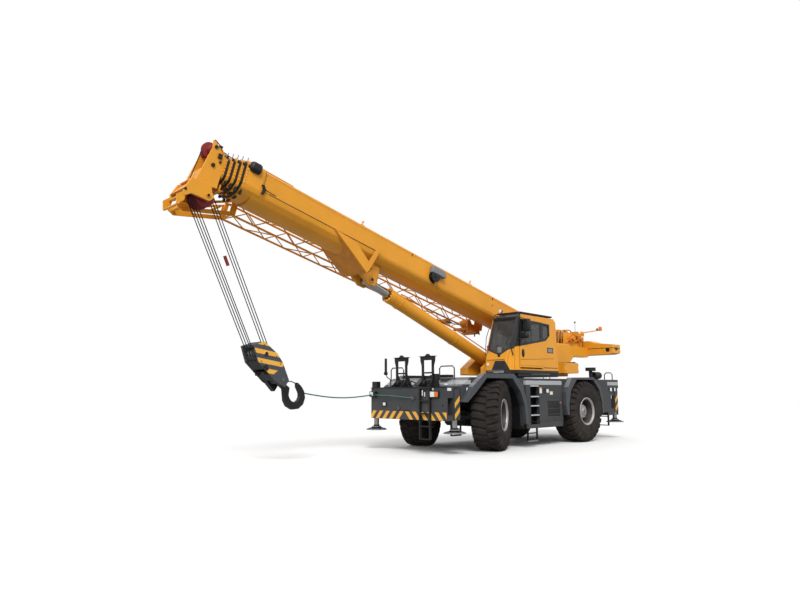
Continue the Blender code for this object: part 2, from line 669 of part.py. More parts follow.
# Cab.
cab_outline = [
    (-0.80, CAB_FLOOR_Z), (1.56, CAB_FLOOR_Z), (1.565, 2.40), (1.50, 2.74), (1.20, 3.62), (1.08, 3.74),
    (-0.60, 3.71), (-0.72, 3.61), (-0.80, 2.26),
]
cab_inner = [
    (-0.75, 2.11), (1.505, 2.11), (1.51, 2.40), (1.45, 2.73), (1.15, 3.60), (1.055, 3.69),
    (-0.58, 3.66), (-0.67, 3.58), (-0.75, 2.28),
]
corner_cut = [(1.19, 1.52), (1.19, 1.50), (1.30, 1.468), (1.46, 1.40), (1.565, 1.29), (1.8, 1.29), (1.8, 1.52)]
windshield = [(0.70, 3.60), (1.40, 3.57), (1.41, 2.79), (1.07, 2.61), (0.72, 2.74)]
door_opening = [(0.08, 2.20), (1.11, 2.20), (1.09, 2.90), (1.01, 3.57), (0.08, 3.55)]
quarter_window = [(-0.01, 3.50), (-0.33, 3.48), (-0.33, 3.18), (-0.17, 3.06), (-0.01, 3.08)]
right_window = [(1.02, 3.55), (-0.50, 3.52), (-0.52, 2.85), (1.25, 2.76)]
rear_window = [(0.76, 3.50), (1.36, 3.50), (1.36, 2.95), (0.76, 2.95)]
inner_y = (CAB_Y[0] + CAB_WALL, CAB_Y[1] - CAB_WALL)
node(
    "cab_shell", "yellow", prism(cab_outline, *CAB_Y),
    cuts=[
        prism(corner_cut, 1.9, 4.0, "z"),
        prism(cab_inner, *inner_y),
        prism(windshield, 0.9, 1.8, "x"),
        prism(door_opening, inner_y[1] - 0.02, CAB_Y[1] + 0.1),
        prism(quarter_window, inner_y[1] - 0.021, CAB_Y[1] + 0.1),
        prism(right_window, CAB_Y[0] - 0.1, inner_y[0] + 0.02),
        prism(rear_window, -0.95, -0.55, "x"),
    ],
)
mount_y = (FLOOR_HALF_W + SEAT_GAP, 1.25)
node("cab_mount", "grey", box((-0.55, 1.20), mount_y, (1.97, CAB_FLOOR_Z - SEAT_GAP)),
     cuts=[disc(RING_R + PAD_GAP, 1.9, 2.2, RING_SEGMENTS, "z")])
door_outline = [(0.03, 2.23), (1.165, 2.23), (1.145, 2.95), (1.07, 3.62), (0.03, 3.60)]
door_window = [(1.01, 3.52), (0.16, 3.50), (0.16, 3.03), (1.07, 2.91)]
door_y = CAB_Y[1] + DOOR_GAP
door_rail = box((0.03, 1.16), (CAB_Y[1] + PAD_GAP, door_y + 0.01), (2.235, 2.265))
node("cab_door", "yellow", prism(door_outline, door_y, door_y + DOOR_T, holes=[door_window]), adds=[door_rail])
node("operator_seat", "black", box((-0.30, 0.25), (0.85, 1.30), (2.11 + SEAT_GAP, 2.62)),
     adds=[box((-0.42, -0.20), (0.87, 1.28), (2.5, 3.25))])

# Boom: a base section and four that slide, each hollow, then the head.
BOOM = empty("boom_pivot", (PIVOT_X, 0.0, PIVOT_Z), ROOT, (0.0, -math.radians(BOOM_ANGLE_DEG), 0.0))


def lift(points):
    # From heights about the boom's middle line to heights above the pivot.
    return [(a, b + BOOM_LINE_N) for a, b in points]


def belly_arc(half, centre, depth):
    turns = [math.pi + math.pi * i / BELLY_ARC_STEPS for i in range(BELLY_ARC_STEPS + 1)]
    return [(half * math.cos(t), centre + depth * math.sin(t)) for t in turns]


def boom_ring(grow):
    half = BOOM_HALF_W + grow
    top = BOOM_TOP + grow
    low = belly_arc(half, -0.08, -0.08 - BOOM_BELLY + grow)
    return lift(low + [(half, top - BOOM_CORNER), (half - BOOM_CORNER, top),
                       (-half + BOOM_CORNER, top), (-half, top - BOOM_CORNER)])


shell_half = BOOM_HALF_W + SHELL_GROW
front_shell = prism(lift(belly_arc(shell_half, -0.05, -0.05 - SHELL_BELLY)), SHELL_START_S, BASE_END_S - 0.3, "x")
ear_outline = lift([(7.36, -0.25), (8.75, -0.25), (7.76, -0.80), (7.68, -0.85), (7.46, -0.85), (7.37, -0.78)])
ear_hole = lift([(8.12, -0.42), (7.62, -0.42), (7.68, -0.57)])
ear = prism(ear_outline, *EAR_Y, holes=[ear_hole])
pin_stub = disc(0.075, EAR_Y[0] + 0.01, EAR_Y[1] + 0.03, 12, "y", (ROD_EYE_S, ROD_EYE_N))
lug = [(-0.15, 0.0), (-0.106, -0.106), (0.0, -0.15), (0.106, -0.106), (0.30, 0.22), (0.30, 0.36), (-0.30, 0.36),
       (-0.30, 0.22)]
pivot_lug = prism(lug, 0.28, 0.44, holes=[circle((0.0, 0.0), bore_for(PIVOT_PIN_R, 16), 16)])
top_box = box((11.27, 11.56), (-0.10, 0.10), (BOOM_LINE_N + BOOM_TOP, BOOM_LINE_N + 0.52))
node(
    "boom_base", "yellow", prism(boom_ring(0.0), BASE_START_S, BASE_END_S, "x"),
    adds=[
        front_shell, prism(boom_ring(BASE_COLLAR_GROW), BASE_END_S - BASE_COLLAR_L, BASE_END_S + 0.0001, "x"),
        both_sides(ear), both_sides(pin_stub), both_sides(pivot_lug), top_box,
    ],
    cuts=[prism(boom_ring(-SECTION_WALL), -0.2, BASE_END_S + 1, "x")],
    parent=BOOM,
)
pad_grow = SECTION_STEP - SECTION_WALL - 0.0015
for index in range(1, 5):
    grow = -index * SECTION_STEP
    collar_start = BASE_END_S + (index - 1) * (COLLAR_L + COLLAR_GAP) + COLLAR_GAP
    start = 0.25 + index * 0.25
    end = collar_start + COLLAR_L
    core_end = end + 1 if index < 4 else end - 0.03
    node(
        f"boom_section_{index + 1}", "yellow", prism(boom_ring(grow), start, end, "x"),
        adds=[prism(boom_ring(grow + COLLAR_GROW), collar_start, end + 0.0001, "x"),
              prism(boom_ring(grow + pad_grow), start - 0.0001, start + WEAR_PAD_L, "x")],
        cuts=[prism(boom_ring(grow - SECTION_WALL), start - 1, core_end, "x")],
        parent=BOOM,
    )

# Boom head with its sheaves.
head_start = BASE_END_S + 4 * (COLLAR_L + COLLAR_GAP) + 0.0001 + SEAT_GAP
head_plate = lift([(head_start, 0.30), (12.41, 0.55), (12.57, -0.39), (12.54, -0.49), (head_start, -0.42)])
head_arm = lift([(12.68, -0.46), (12.77, -0.73), (12.73, -0.89), (12.59, -0.77), (12.20, -0.76), (12.12, -0.65),
                 (12.20, -0.55), (12.24, -0.44), (12.50, -0.43)])
head_tab = lift([(12.70, -0.80), (12.765, -0.80), (12.87, -0.92), (12.81, -1.11), (12.69, -0.97)])
end_plate = box((head_start, head_start + 0.03), (-HEAD_PLATE_Y[1], HEAD_PLATE_Y[1]),
                (BOOM_LINE_N - 0.28, BOOM_LINE_N + 0.29))
nose_beam = box((12.36, 12.52), (-0.27, 0.27), (BOOM_LINE_N - 0.37, BOOM_LINE_N - 0.12))
axle_ends = [lift([TOP_AXLE])[0], lift([LOW_AXLE])[0]]
node(
    "boom_head", "yellow", end_plate,
    adds=[
        both_sides(prism(head_plate, *HEAD_PLATE_Y)), both_sides(prism(head_arm, *HEAD_ARM_Y)),
        both_sides(prism(head_tab, HEAD_ARM_Y[0] + 0.01, HEAD_ARM_Y[1] - 0.01)), nose_beam,
        disc(AXLE_R, -0.31, 0.31, 12, "y", axle_ends[0]), disc(AXLE_R, -0.355, 0.355, 12, "y", axle_ends[1]),
    ],
    parent=BOOM,
)


def sheave_stack(count, hub_end, radius, groove, bore):
    profile = [(-hub_end, SHEAVE_HUB_R)]
    for i in range(count):
        y = (i - (count - 1) / 2) * SHEAVE_PITCH
        profile += [(y - SHEAVE_HALF_W, SHEAVE_HUB_R), (y - SHEAVE_HALF_W, radius), (y, groove),
                    (y + SHEAVE_HALF_W, radius), (y + SHEAVE_HALF_W, SHEAVE_HUB_R)]
    profile += [(hub_end, SHEAVE_HUB_R), (hub_end, bore), (-hub_end, bore)]
    return lathe(profile, SHEAVE_SEGMENTS)


bore_r = bore_for(AXLE_R, SHEAVE_SEGMENTS)
lower_stack = sheave_stack(4, HEAD_ARM_Y[0] - SEAT_GAP, SHEAVE_R, SHEAVE_GROOVE_R, bore_r)
node("head_sheaves_lower", "red", moved(lower_stack, axle_ends[1][0], 0.0, axle_ends[1][1]), parent=BOOM,
     origin=(axle_ends[1][0], 0.0, axle_ends[1][1]))
upper_stack = sheave_stack(1, HEAD_PLATE_Y[0] - SEAT_GAP, 0.19, 0.165, bore_r)
node("head_sheave_top", "red", moved(upper_stack, axle_ends[0][0], 0.0, axle_ends[0][1]), parent=BOOM,
     origin=(axle_ends[0][0], 0.0, axle_ends[0][1]))

# Lattice extension: a thin box with triangles cut through each face.
jib_tube = prism(lift(oblong(JIB_Y, JIB_N)), *JIB_S, "x",
                 holes=[lift(oblong((JIB_Y[0] + JIB_WALL, JIB_Y[1] - JIB_WALL),
                                    (JIB_N[0] + JIB_WALL, JIB_N[1] - JIB_WALL)))])
jib_pitch = (JIB_S[1] - JIB_S[0] - 2 * JIB_CHORD) / JIB_BAYS


def windows(low, high):
    # Triangles that point up and down in turn, with a brace left between each two.
    low = low + JIB_CHORD
    high = high - JIB_CHORD
    shapes = []
    for i in range(2 * JIB_BAYS - 1):
        base, tip = (low, high) if i % 2 == 0 else (high, low)
        left = JIB_S[0] + JIB_CHORD + jib_pitch * i / 2
        shapes.append([(left + JIB_BRACE, base), (left + jib_pitch - JIB_BRACE, base),
                       (left + jib_pitch / 2, tip)])
    return shapes


side_windows = joined([prism(lift(w), JIB_Y[0] - 0.1, JIB_Y[1] + 0.1) for w in windows(*JIB_N)])
top_windows = joined([prism(w, JIB_N[0] + BOOM_LINE_N - 0.1, JIB_N[1] + BOOM_LINE_N + 0.1, "z")
                      for w in windows(*JIB_Y)])
tip_plate = lift([(11.20, -0.05), (11.20, -0.45), (12.35, -0.86), (12.50, -0.80), (12.50, -0.70)])
heel_plate = lift([(2.28, -0.16), (2.28, -0.34), (2.66, -0.46), (2.66, -0.04)])
cheek_ys = ((JIB_Y[0] + 0.004, JIB_Y[0] + 0.034), (JIB_Y[1] - 0.034, JIB_Y[1] - 0.004))
cheeks = joined([prism(tip_plate, *ys) for ys in cheek_ys] + [prism(heel_plate, *ys) for ys in cheek_ys])
cross_y = (JIB_Y[0] + 0.01, JIB_Y[1] - 0.01)
cross_tubes = joined([disc(0.04, *cross_y, 12, "y", (12.40, BOOM_LINE_N - 0.77)),
                      disc(0.05, *cross_y, 12, "y", (2.36, BOOM_LINE_N - 0.25))])
hangers = joined([
    box((4.10, 4.30), (JIB_Y[1] - 0.015, -BOOM_HALF_W - SEAT_GAP), (BOOM_LINE_N - 0.062, BOOM_LINE_N - 0.030)),
    box((9.50, 9.70), (JIB_Y[1] - 0.015, -shell_half - SEAT_GAP), (BOOM_LINE_N - 0.062, BOOM_LINE_N - 0.030)),
])
node("lattice_jib", "yellow", jib_tube, adds=[cheeks, cross_tubes, hangers], cuts=[side_windows, top_windows],
     parent=BOOM, solver="MANIFOLD")

# Lift cylinder.
boom_turn = math.radians(BOOM_ANGLE_DEG)
eye_x = PIVOT_X + ROD_EYE_S * math.cos(boom_turn) - ROD_EYE_N * math.sin(boom_turn)
eye_z = PIVOT_Z + ROD_EYE_S * math.sin(boom_turn) + ROD_EYE_N * math.cos(boom_turn)
run = Vector((eye_x - CYLINDER_FOOT[0], 0.0, eye_z - CYLINDER_FOOT[1]))
lean = math.atan2(run.z, run.x)
CYLINDER = empty("cylinder_foot", (CYLINDER_FOOT[0], 0.0, CYLINDER_FOOT[1]), ROOT, (0.0, -lean, 0.0))
reach = run.length
gland_r = ROD_R + PAD_GAP
node(
    "lift_cylinder_barrel", "yellow", spun([
        (0.05, 0.11), (BARREL_START, 0.11), (BARREL_START, BARREL_R), (BARREL_END - 0.16, BARREL_R),
        (BARREL_END - 0.16, BARREL_R + GLAND_GROW), (BARREL_END, BARREL_R + GLAND_GROW), (BARREL_END, gland_r),
        (BARREL_END - 0.14, gland_r), (BARREL_END - 0.14, BARREL_BORE_R), (0.36, BARREL_BORE_R),
    ], 20, "x"),
    adds=[disc(FOOT_EYE_R, -0.14, 0.14, 16, "y")], cuts=[disc(bore_for(FOOT_PIN_R, 16), -0.3, 0.3, 16, "y")],
    parent=CYLINDER,
)
node(
    "lift_cylinder_rod", "chrome", spun([
        (ROD_START, BARREL_BORE_R - PAD_GAP), (ROD_START + PISTON_L, BARREL_BORE_R - PAD_GAP),
        (ROD_START + PISTON_L, ROD_R), (reach, ROD_R),
    ], 20, "x"),
    adds=[disc(ROD_EYE_R, -ROD_EYE_HALF_W, ROD_EYE_HALF_W, 16, "y", (reach, 0.0))],
    parent=CYLINDER,
)

# Hook block and falls, which hang from the lower head axle.
hang_s, hang_n = axle_ends[1]
hang_x = PIVOT_X + hang_s * math.cos(boom_turn) - hang_n * math.sin(boom_turn)
hang_z = PIVOT_Z + hang_s * math.sin(boom_turn) + hang_n * math.cos(boom_turn)
HANG = empty("falls_top", (hang_x, 0.0, hang_z), ROOT)
tilt = math.radians(BLOCK_TILT_DEG)
block_at = Vector((BLOCK_X - hang_x, 0.0, BLOCK_Z - hang_z))


def in_block(points):
    # From lengths down the tilted block and out to its rear, to places from the head axle.
    down = Vector((-math.sin(tilt), 0.0, -math.cos(tilt)))
    rear = Vector((-math.cos(tilt), 0.0, math.sin(tilt)))
    places = [block_at + down * u + rear * v for u, v in points]
    return [(p.x, p.z) for p in places]


cheek_outline = in_block([(-0.33, -0.12), (-0.23, 0.13), (0.17, 0.23), (0.41, 0.22), (0.81, 0.11), (0.86, -0.07),
                          (0.61, -0.17), (0.02, -0.25)])
block_axle = in_block([(0.0, 0.0)])[0]
crosshead = in_block([(CROSSHEAD_U, 0.0)])[0]
tie = in_block([(-0.27, -0.03)])[0]
node(
    "hook_block", "black", disc(CROSSHEAD_R, -0.27, 0.27, 16, "y", crosshead),
    adds=[both_sides(prism(cheek_outline, *BLOCK_CHEEK_Y)), disc(AXLE_R, -0.30, 0.30, 12, "y", block_axle),
          disc(0.03, -0.27, 0.27, 8, "y", tie)],
    parent=HANG,
)
block_stack = sheave_stack(3, BLOCK_CHEEK_Y[0] - SEAT_GAP, SHEAVE_R, SHEAVE_GROOVE_R, bore_r)
node("block_sheaves", "red", moved(block_stack, block_axle[0], 0.0, block_axle[1]), parent=HANG,
     origin=(block_axle[0], 0.0, block_axle[1]))

# The hook, an open ring about its own middle, with its shank toward the crosshead.
hook_middle = (HOOK_CENTRE[0] - hang_x, HOOK_CENTRE[1] - hang_z)
shank_run = Vector((crosshead[0] - hook_middle[0], crosshead[1] - hook_middle[1]))
shank_turn = math.atan2(shank_run.y, shank_run.x)
shank_end = shank_run.length - CROSSHEAD_R - SEAT_GAP
HOOK_OUTER = ((-22, 0.285), (-50, 0.30), (-80, 0.31), (-110, 0.31), (-140, 0.30), (-170, 0.285), (-200, 0.27),
              (-225, 0.27), (-245, 0.285), (-258, 0.30))
HOOK_INNER = ((-250, 0.20), (-230, 0.165), (-200, 0.15), (-170, 0.145), (-140, 0.145), (-110, 0.145),
              (-80, 0.145), (-50, 0.145), (-20, 0.15), (5, 0.165))


def polar(degrees, radius):
    t = math.radians(degrees)
    return (hook_middle[0] + radius * math.cos(t), hook_middle[1] + radius * math.sin(t))


def on_shank(along, across):
    return (hook_middle[0] + along * math.cos(shank_turn) - across * math.sin(shank_turn),
            hook_middle[1] + along * math.sin(shank_turn) + across * math.cos(shank_turn))


hook_outline = [on_shank(shank_end, -HOOK_SHANK_HALF_W), on_shank(0.33, -HOOK_SHANK_HALF_W)]
hook_outline += [polar(*p) for p in HOOK_OUTER] + [polar(*p) for p in HOOK_INNER]
hook_outline += [on_shank(0.22, HOOK_SHANK_HALF_W), on_shank(shank_end, HOOK_SHANK_HALF_W)]
node("hook", "black", prism(hook_outline, -HOOK_HALF_T, HOOK_HALF_T), parent=HANG)

# Seven parts of rope: down the front of each sheave pair and up the rear.
rope_path_r = SHEAVE_GROOVE_R + ROPE_R + ROPE_OFF_GROOVE
falls_turn = math.atan2(-block_axle[0], -block_axle[1])
front = Vector((math.cos(falls_turn), 0.0, -math.sin(falls_turn)))
down = Vector((-math.sin(falls_turn), 0.0, -math.cos(falls_turn)))
low_at = Vector((block_axle[0], 0.0, block_axle[1]))


def around(centre, y, first, last, steps=7):
    # Rope places round a sheave; turn 0 is its front, 90 its lower side.
    places = []
    for i in range(steps):
        t = math.radians(first + (last - first) * i / (steps - 1))
        places.append(centre + (front * math.cos(t) + down * math.sin(t)) * rope_path_r + Vector((0.0, y, 0.0)))
    return places


rope = []
for i in range(4):
    head_y = (i - 1.5) * SHEAVE_PITCH
    block_y = (i - 1.0) * SHEAVE_PITCH
    if i == 0:
        rope += around(Vector(), head_y, -35, 0, 2)
    else:
        rope += around(Vector(), head_y, -180, 0)
    if i < 3:
        rope += around(low_at, block_y, 0, 180)
    else:
        rope += [low_at + front * rope_path_r + down * -0.05 + Vector((0.0, head_y + 0.02, 0.0))]
node("hoist_rope", "black", tube_path(rope, ROPE_R, 5), parent=HANG)

# Fittings on the carrier.
front_ladder, front_gaps = ladder((0.50, 0.89), (0.36, 1.66), 5, 0.04, 0.03)
ladder_x = FRONT_BOX_X[1] + SEAT_GAP
node("front_ladder", "grey", prism(front_ladder, ladder_x, ladder_x + 0.06, "x", holes=front_gaps))
rear_ladder, rear_gaps = ladder((0.64, 1.04), (0.38, 1.60), 5, 0.04, 0.03)
ladder_x = REAR_BOX_X[0] - SEAT_GAP
node("rear_ladder", "grey", prism(rear_ladder, ladder_x - 0.06, ladder_x, "x", holes=rear_gaps))
STAND_X = FRONT_BOX_X[0] + 0.175
STAND_Y = 0.495
stand_low = FRONT_BOX_Z[1] + SEAT_GAP
stand_outline = [(-0.20, stand_low), (0.20, stand_low), (0.20, 2.40), (0.25, 2.44), (0.25, 2.49), (-0.25, 2.49),
                 (-0.25, 2.44), (-0.20, 2.40)]
stand_gaps = [oblong((-0.16, 0.16), z) for z in ((1.72, 1.83), (1.87, 2.03), (2.07, 2.38))]
for side, word in SIDES:
    stand = prism(stand_outline, STAND_X, STAND_X + 0.06, "x", holes=stand_gaps)
    node(f"deck_stand_{word}", "grey", moved(stand, 0.0, side * STAND_Y, 0.0), origin=(STAND_X, side * STAND_Y, 0.0))
cleaner = (-3.55, 1.0)
node("air_cleaner", "black", disc(0.06, DECK_Z + SEAT_GAP, 2.26, 12, "z", cleaner),
     adds=[disc(0.17, 2.225, 2.337, 20, "z", cleaner)])
node("muffler", "black", disc(0.12, -4.08, -3.70, 16, "x", (1.0, 2.08)),
     adds=[box((-3.96, -3.82), (0.95, 1.05), (DECK_Z + SEAT_GAP, 2.02))])
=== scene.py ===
from math import cos, hypot, pi, radians, sin

import bmesh
import bpy
from mathutils import Matrix, Vector
from mathutils.geometry import tessellate_polygon


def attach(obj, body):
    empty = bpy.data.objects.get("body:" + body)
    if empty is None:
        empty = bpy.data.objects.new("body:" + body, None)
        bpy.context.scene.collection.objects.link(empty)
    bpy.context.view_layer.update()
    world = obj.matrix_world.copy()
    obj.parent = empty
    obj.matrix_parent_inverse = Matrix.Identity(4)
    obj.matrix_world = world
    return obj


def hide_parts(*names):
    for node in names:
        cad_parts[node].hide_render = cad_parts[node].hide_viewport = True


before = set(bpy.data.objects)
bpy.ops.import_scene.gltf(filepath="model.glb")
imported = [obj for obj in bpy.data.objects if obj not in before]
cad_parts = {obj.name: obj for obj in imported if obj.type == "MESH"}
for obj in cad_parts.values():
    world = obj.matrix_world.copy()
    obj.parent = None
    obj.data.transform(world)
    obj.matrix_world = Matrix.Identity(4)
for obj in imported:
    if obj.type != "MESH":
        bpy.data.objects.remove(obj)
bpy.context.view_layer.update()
scene = bpy.context.scene
UPPER = "upperstructure"
HOOK = "hook_assembly"

# Frames. CAR, the vehicle's own, starts on the ground under the slew axis, with x ahead and y left. BOOM and
# CYL run along the boom and the lift cylinder, BLOCK has its first axis down along the falls.


def raised(degrees):
    return Matrix.Rotation(radians(-degrees), 4, "Y")


CAR = Matrix.Translation((-3, 0, 0))
BOOM = CAR @ Matrix.Translation((-1.85, 0, 2.74)) @ raised(14) @ Matrix.Translation((0, 0, 0.4904))
CYL = CAR @ Matrix.Translation((-0.16, 0, 2.115)) @ raised(21.453)
MIRROR = Matrix.Scale(-1, 4, (0, 1, 0))
tilt = radians(39.1)
BLOCK = CAR @ Matrix((
    (-sin(tilt), 0, -cos(tilt), 8.588), (0, 1, 0, 0),
    (-cos(tilt), 0, sin(tilt), 2.378), (0, 0, 0, 1)))


def wheel_frame(x, side, steer):
    pin = Matrix.Translation((x, side * 1.075, 0.935)) @ Matrix.Rotation(radians(steer), 4, "Z")
    out = pin @ Matrix.Translation((0, side * 0.2, 0))
    return CAR @ (out if side > 0 else out @ MIRROR)


# Shapes, each a list of places and a list of faces.


def put(at, mesh):
    return [at @ Vector(p) for p in mesh[0]], mesh[1]


def mirrored(meshes):
    return meshes + [put(MIRROR, m) for m in meshes]


def box(x0, x1, y0, y1, z0, z1):
    points = [(a, b, c) for c in (z0, z1) for b in (y0, y1) for a in (x0, x1)]
    return points, [(0, 2, 3, 1), (4, 5, 7, 6), (0, 1, 5, 4), (2, 6, 7, 3), (0, 4, 6, 2), (1, 3, 7, 5)]


def prism(outline, low, high, axis="y", holes=()):
    rings = [list(outline)] + [list(h) for h in holes]
    flat = [p for ring in rings for p in ring]
    count = len(flat)

    def place(p, d):
        return {"y": (p[0], d, p[1]), "x": (d, p[0], p[1]), "z": (p[0], p[1], d)}[axis]

    points = [place(p, low) for p in flat] + [place(p, high) for p in flat]
    cells = tessellate_polygon([[Vector((p[0], p[1], 0)) for p in ring] for ring in rings])
    faces = [tuple(c) for c in cells] + [tuple(i + count for i in reversed(c)) for c in cells]
    start = 0
    for ring in rings:
        for i in range(len(ring)):
            a, b = start + i, start + (i + 1) % len(ring)
            faces.append((a, b, b + count, a + count))
        start += len(ring)
    return points, faces


def angles(count):
    return [2 * pi * i / count for i in range(count)]


def grid(rows, columns, loop=False, around=False):
    # Faces between rows of points: loop joins the last row to the first, around closes every row.
    faces = []
    for i in range(rows if loop else rows - 1):
        k = (i + 1) % rows
        for j in range(columns if around else columns - 1):
            m = (j + 1) % columns
            faces.append((i * columns + j, i * columns + m, k * columns + m, k * columns + j))
    return faces


def lathe(profile, count=32, axis="y", closed=False, at=(0, 0, 0)):
    points = []
    for t in angles(count):
        for along, r in profile:
            a, b = r * cos(t), r * sin(t)
            points.append({"y": (a, along, b), "x": (along, a, b), "z": (a, b, along)}[axis])
    return put(Matrix.Translation(at), (points, grid(count, len(profile), True, closed)))


def disc(centre, r, low, high, axis="y", count=20):
    a, b = centre
    at = {"y": (a, 0, b), "x": (0, a, b), "z": (a, b, 0)}[axis]
    return lathe([(low, 0), (low, r), (high, r), (high, 0)], count, axis, at=at)


def tube(path, r, count=8, closed=False):
    path = [Vector(p) for p in path]
    n = len(path)
    points = []
    side = Vector((0.13, 0.97, 0.21)).normalized()
    for i, p in enumerate(path):
        after = path[(i + 1) % n] if closed else path[min(i + 1, n - 1)]
        before = path[i - 1] if closed or i else path[0]
        ahead = (after - before).normalized()
        side = (side - ahead * side.dot(ahead)).normalized()
        up = ahead.cross(side)
        points += [p + (side * cos(t) + up * sin(t)) * r for t in angles(count)]
    faces = grid(n, count, closed, True)
    if not closed:
        faces += [tuple(reversed(range(count))), tuple((n - 1) * count + k for k in range(count))]
    return points, faces


def bent(points, r, count=8, round_r=0.05, steps=4):
    # A tube with rounded corners.
    pts = [Vector(p) for p in points]
    path = [pts[0]]
    for a, b, c in zip(pts, pts[1:], pts[2:]):
        u, v = (a - b), (c - b)
        d = min(round_r, u.length * 0.45, v.length * 0.45)
        s, e = b + u.normalized() * d, b + v.normalized() * d
        for i in range(steps + 1):
            t = i / steps
            path.append(s * (1 - t) ** 2 + b * 2 * t * (1 - t) + e * t * t)
    path.append(pts[-1])
    return tube(path, r, count)


def bolt(x, y, z, axis="y", r=0.014, h=0.012):
    lo, centre = {"y": (y, (x, z)), "x": (x, (y, z)), "z": (z, (x, y))}[axis]
    return disc(centre, r, lo - h, lo + h, axis, 6)


def clip(outline, side, most):
    # The part of a flat outline where side times the first coordinate is below most.
    kept = []
    for (a, b), (c, d) in zip(outline, outline[1:] + outline[:1]):
        here, there = side * a - most, side * c - most
        if here <= 0:
            kept.append((a, b))
        if here * there < 0:
            t = here / (here - there)
            kept.append((a + (c - a) * t, b + (d - b) * t))
    return kept


def add(name, data):
    obj = bpy.data.objects.new(name, data)
    scene.collection.objects.link(obj)
    return obj


def make(name, body, mat, meshes, at=CAR, bevel=0, sharp=40, replaces=()):
    points, faces = [], []
    for some, cells in meshes:
        base = len(points)
        points += [tuple(at @ Vector(p)) for p in some]
        faces += [tuple(base + i for i in f) for f in cells]
    data = bpy.data.meshes.new(name)
    data.from_pydata(points, [], faces)
    bm = bmesh.new()
    bm.from_mesh(data)
    bmesh.ops.remove_doubles(bm, verts=bm.verts[:], dist=1e-5)
    bmesh.ops.dissolve_degenerate(bm, dist=1e-6, edges=bm.edges[:])
    bmesh.ops.recalc_face_normals(bm, faces=bm.faces[:])
    bm.to_mesh(data)
    bm.free()
    data.shade_smooth()
    data.set_sharp_from_angle(angle=radians(sharp))
    data.materials.append(mat)
    obj = add(name, data)
    if bevel:
        mod = obj.modifiers.new("edge", "BEVEL")
        mod.width = bevel
        mod.segments = 2
        mod.limit_method = "ANGLE"
        mod.angle_limit = radians(35)
    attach(obj, body)
    if replaces:
        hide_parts(*replaces)


# Materials.


class Tree:
    # Short calls for a tree of shader nodes.

    def __init__(self, tree):
        self.tree = tree

    def new(self, kind, **values):
        node = self.tree.nodes.new("ShaderNode" + kind)
        for k, v in values.items():
            node.inputs[k].default_value = v
        return node

    def link(self, a, b):
        self.tree.links.new(a, b)

    def feed(self, socket, value):
        if hasattr(value, "is_linked"):
            self.link(value, socket)
        elif hasattr(value, "__len__"):
            socket.default_value = (*value, 1) if len(socket.default_value) == 4 else value
        else:
            socket.default_value = value

    def work_out(self, kind, operation, a, b, result="Value"):
        node = self.new(kind)
        node.operation = operation
        self.feed(node.inputs[0], a)
        self.feed(node.inputs[1], b)
        return node.outputs[result]

    def vector(self, operation, a, b):
        return self.work_out("VectorMath", operation, a, b, "Vector")

    def dot(self, a, b):
        return self.work_out("VectorMath", "DOT_PRODUCT", a, b)

    def math(self, operation, a, b=0):
        return self.work_out("Math", operation, a, b)

    def ramp(self, value, a, b, c, d):
        node = self.new("MapRange", **{"From Min": a, "From Max": b, "To Min": c, "To Max": d})
        self.link(value, node.inputs["Value"])
        return node.outputs["Result"]

    def mix(self, factor, a, b):
        node = self.new("Mix")
        node.data_type = "RGBA"
        self.feed(node.inputs["Factor"], factor)
        self.feed(node.inputs["A"], a)
        self.feed(node.inputs["B"], b)
        return [o for o in node.outputs if o.type == "RGBA"][0]


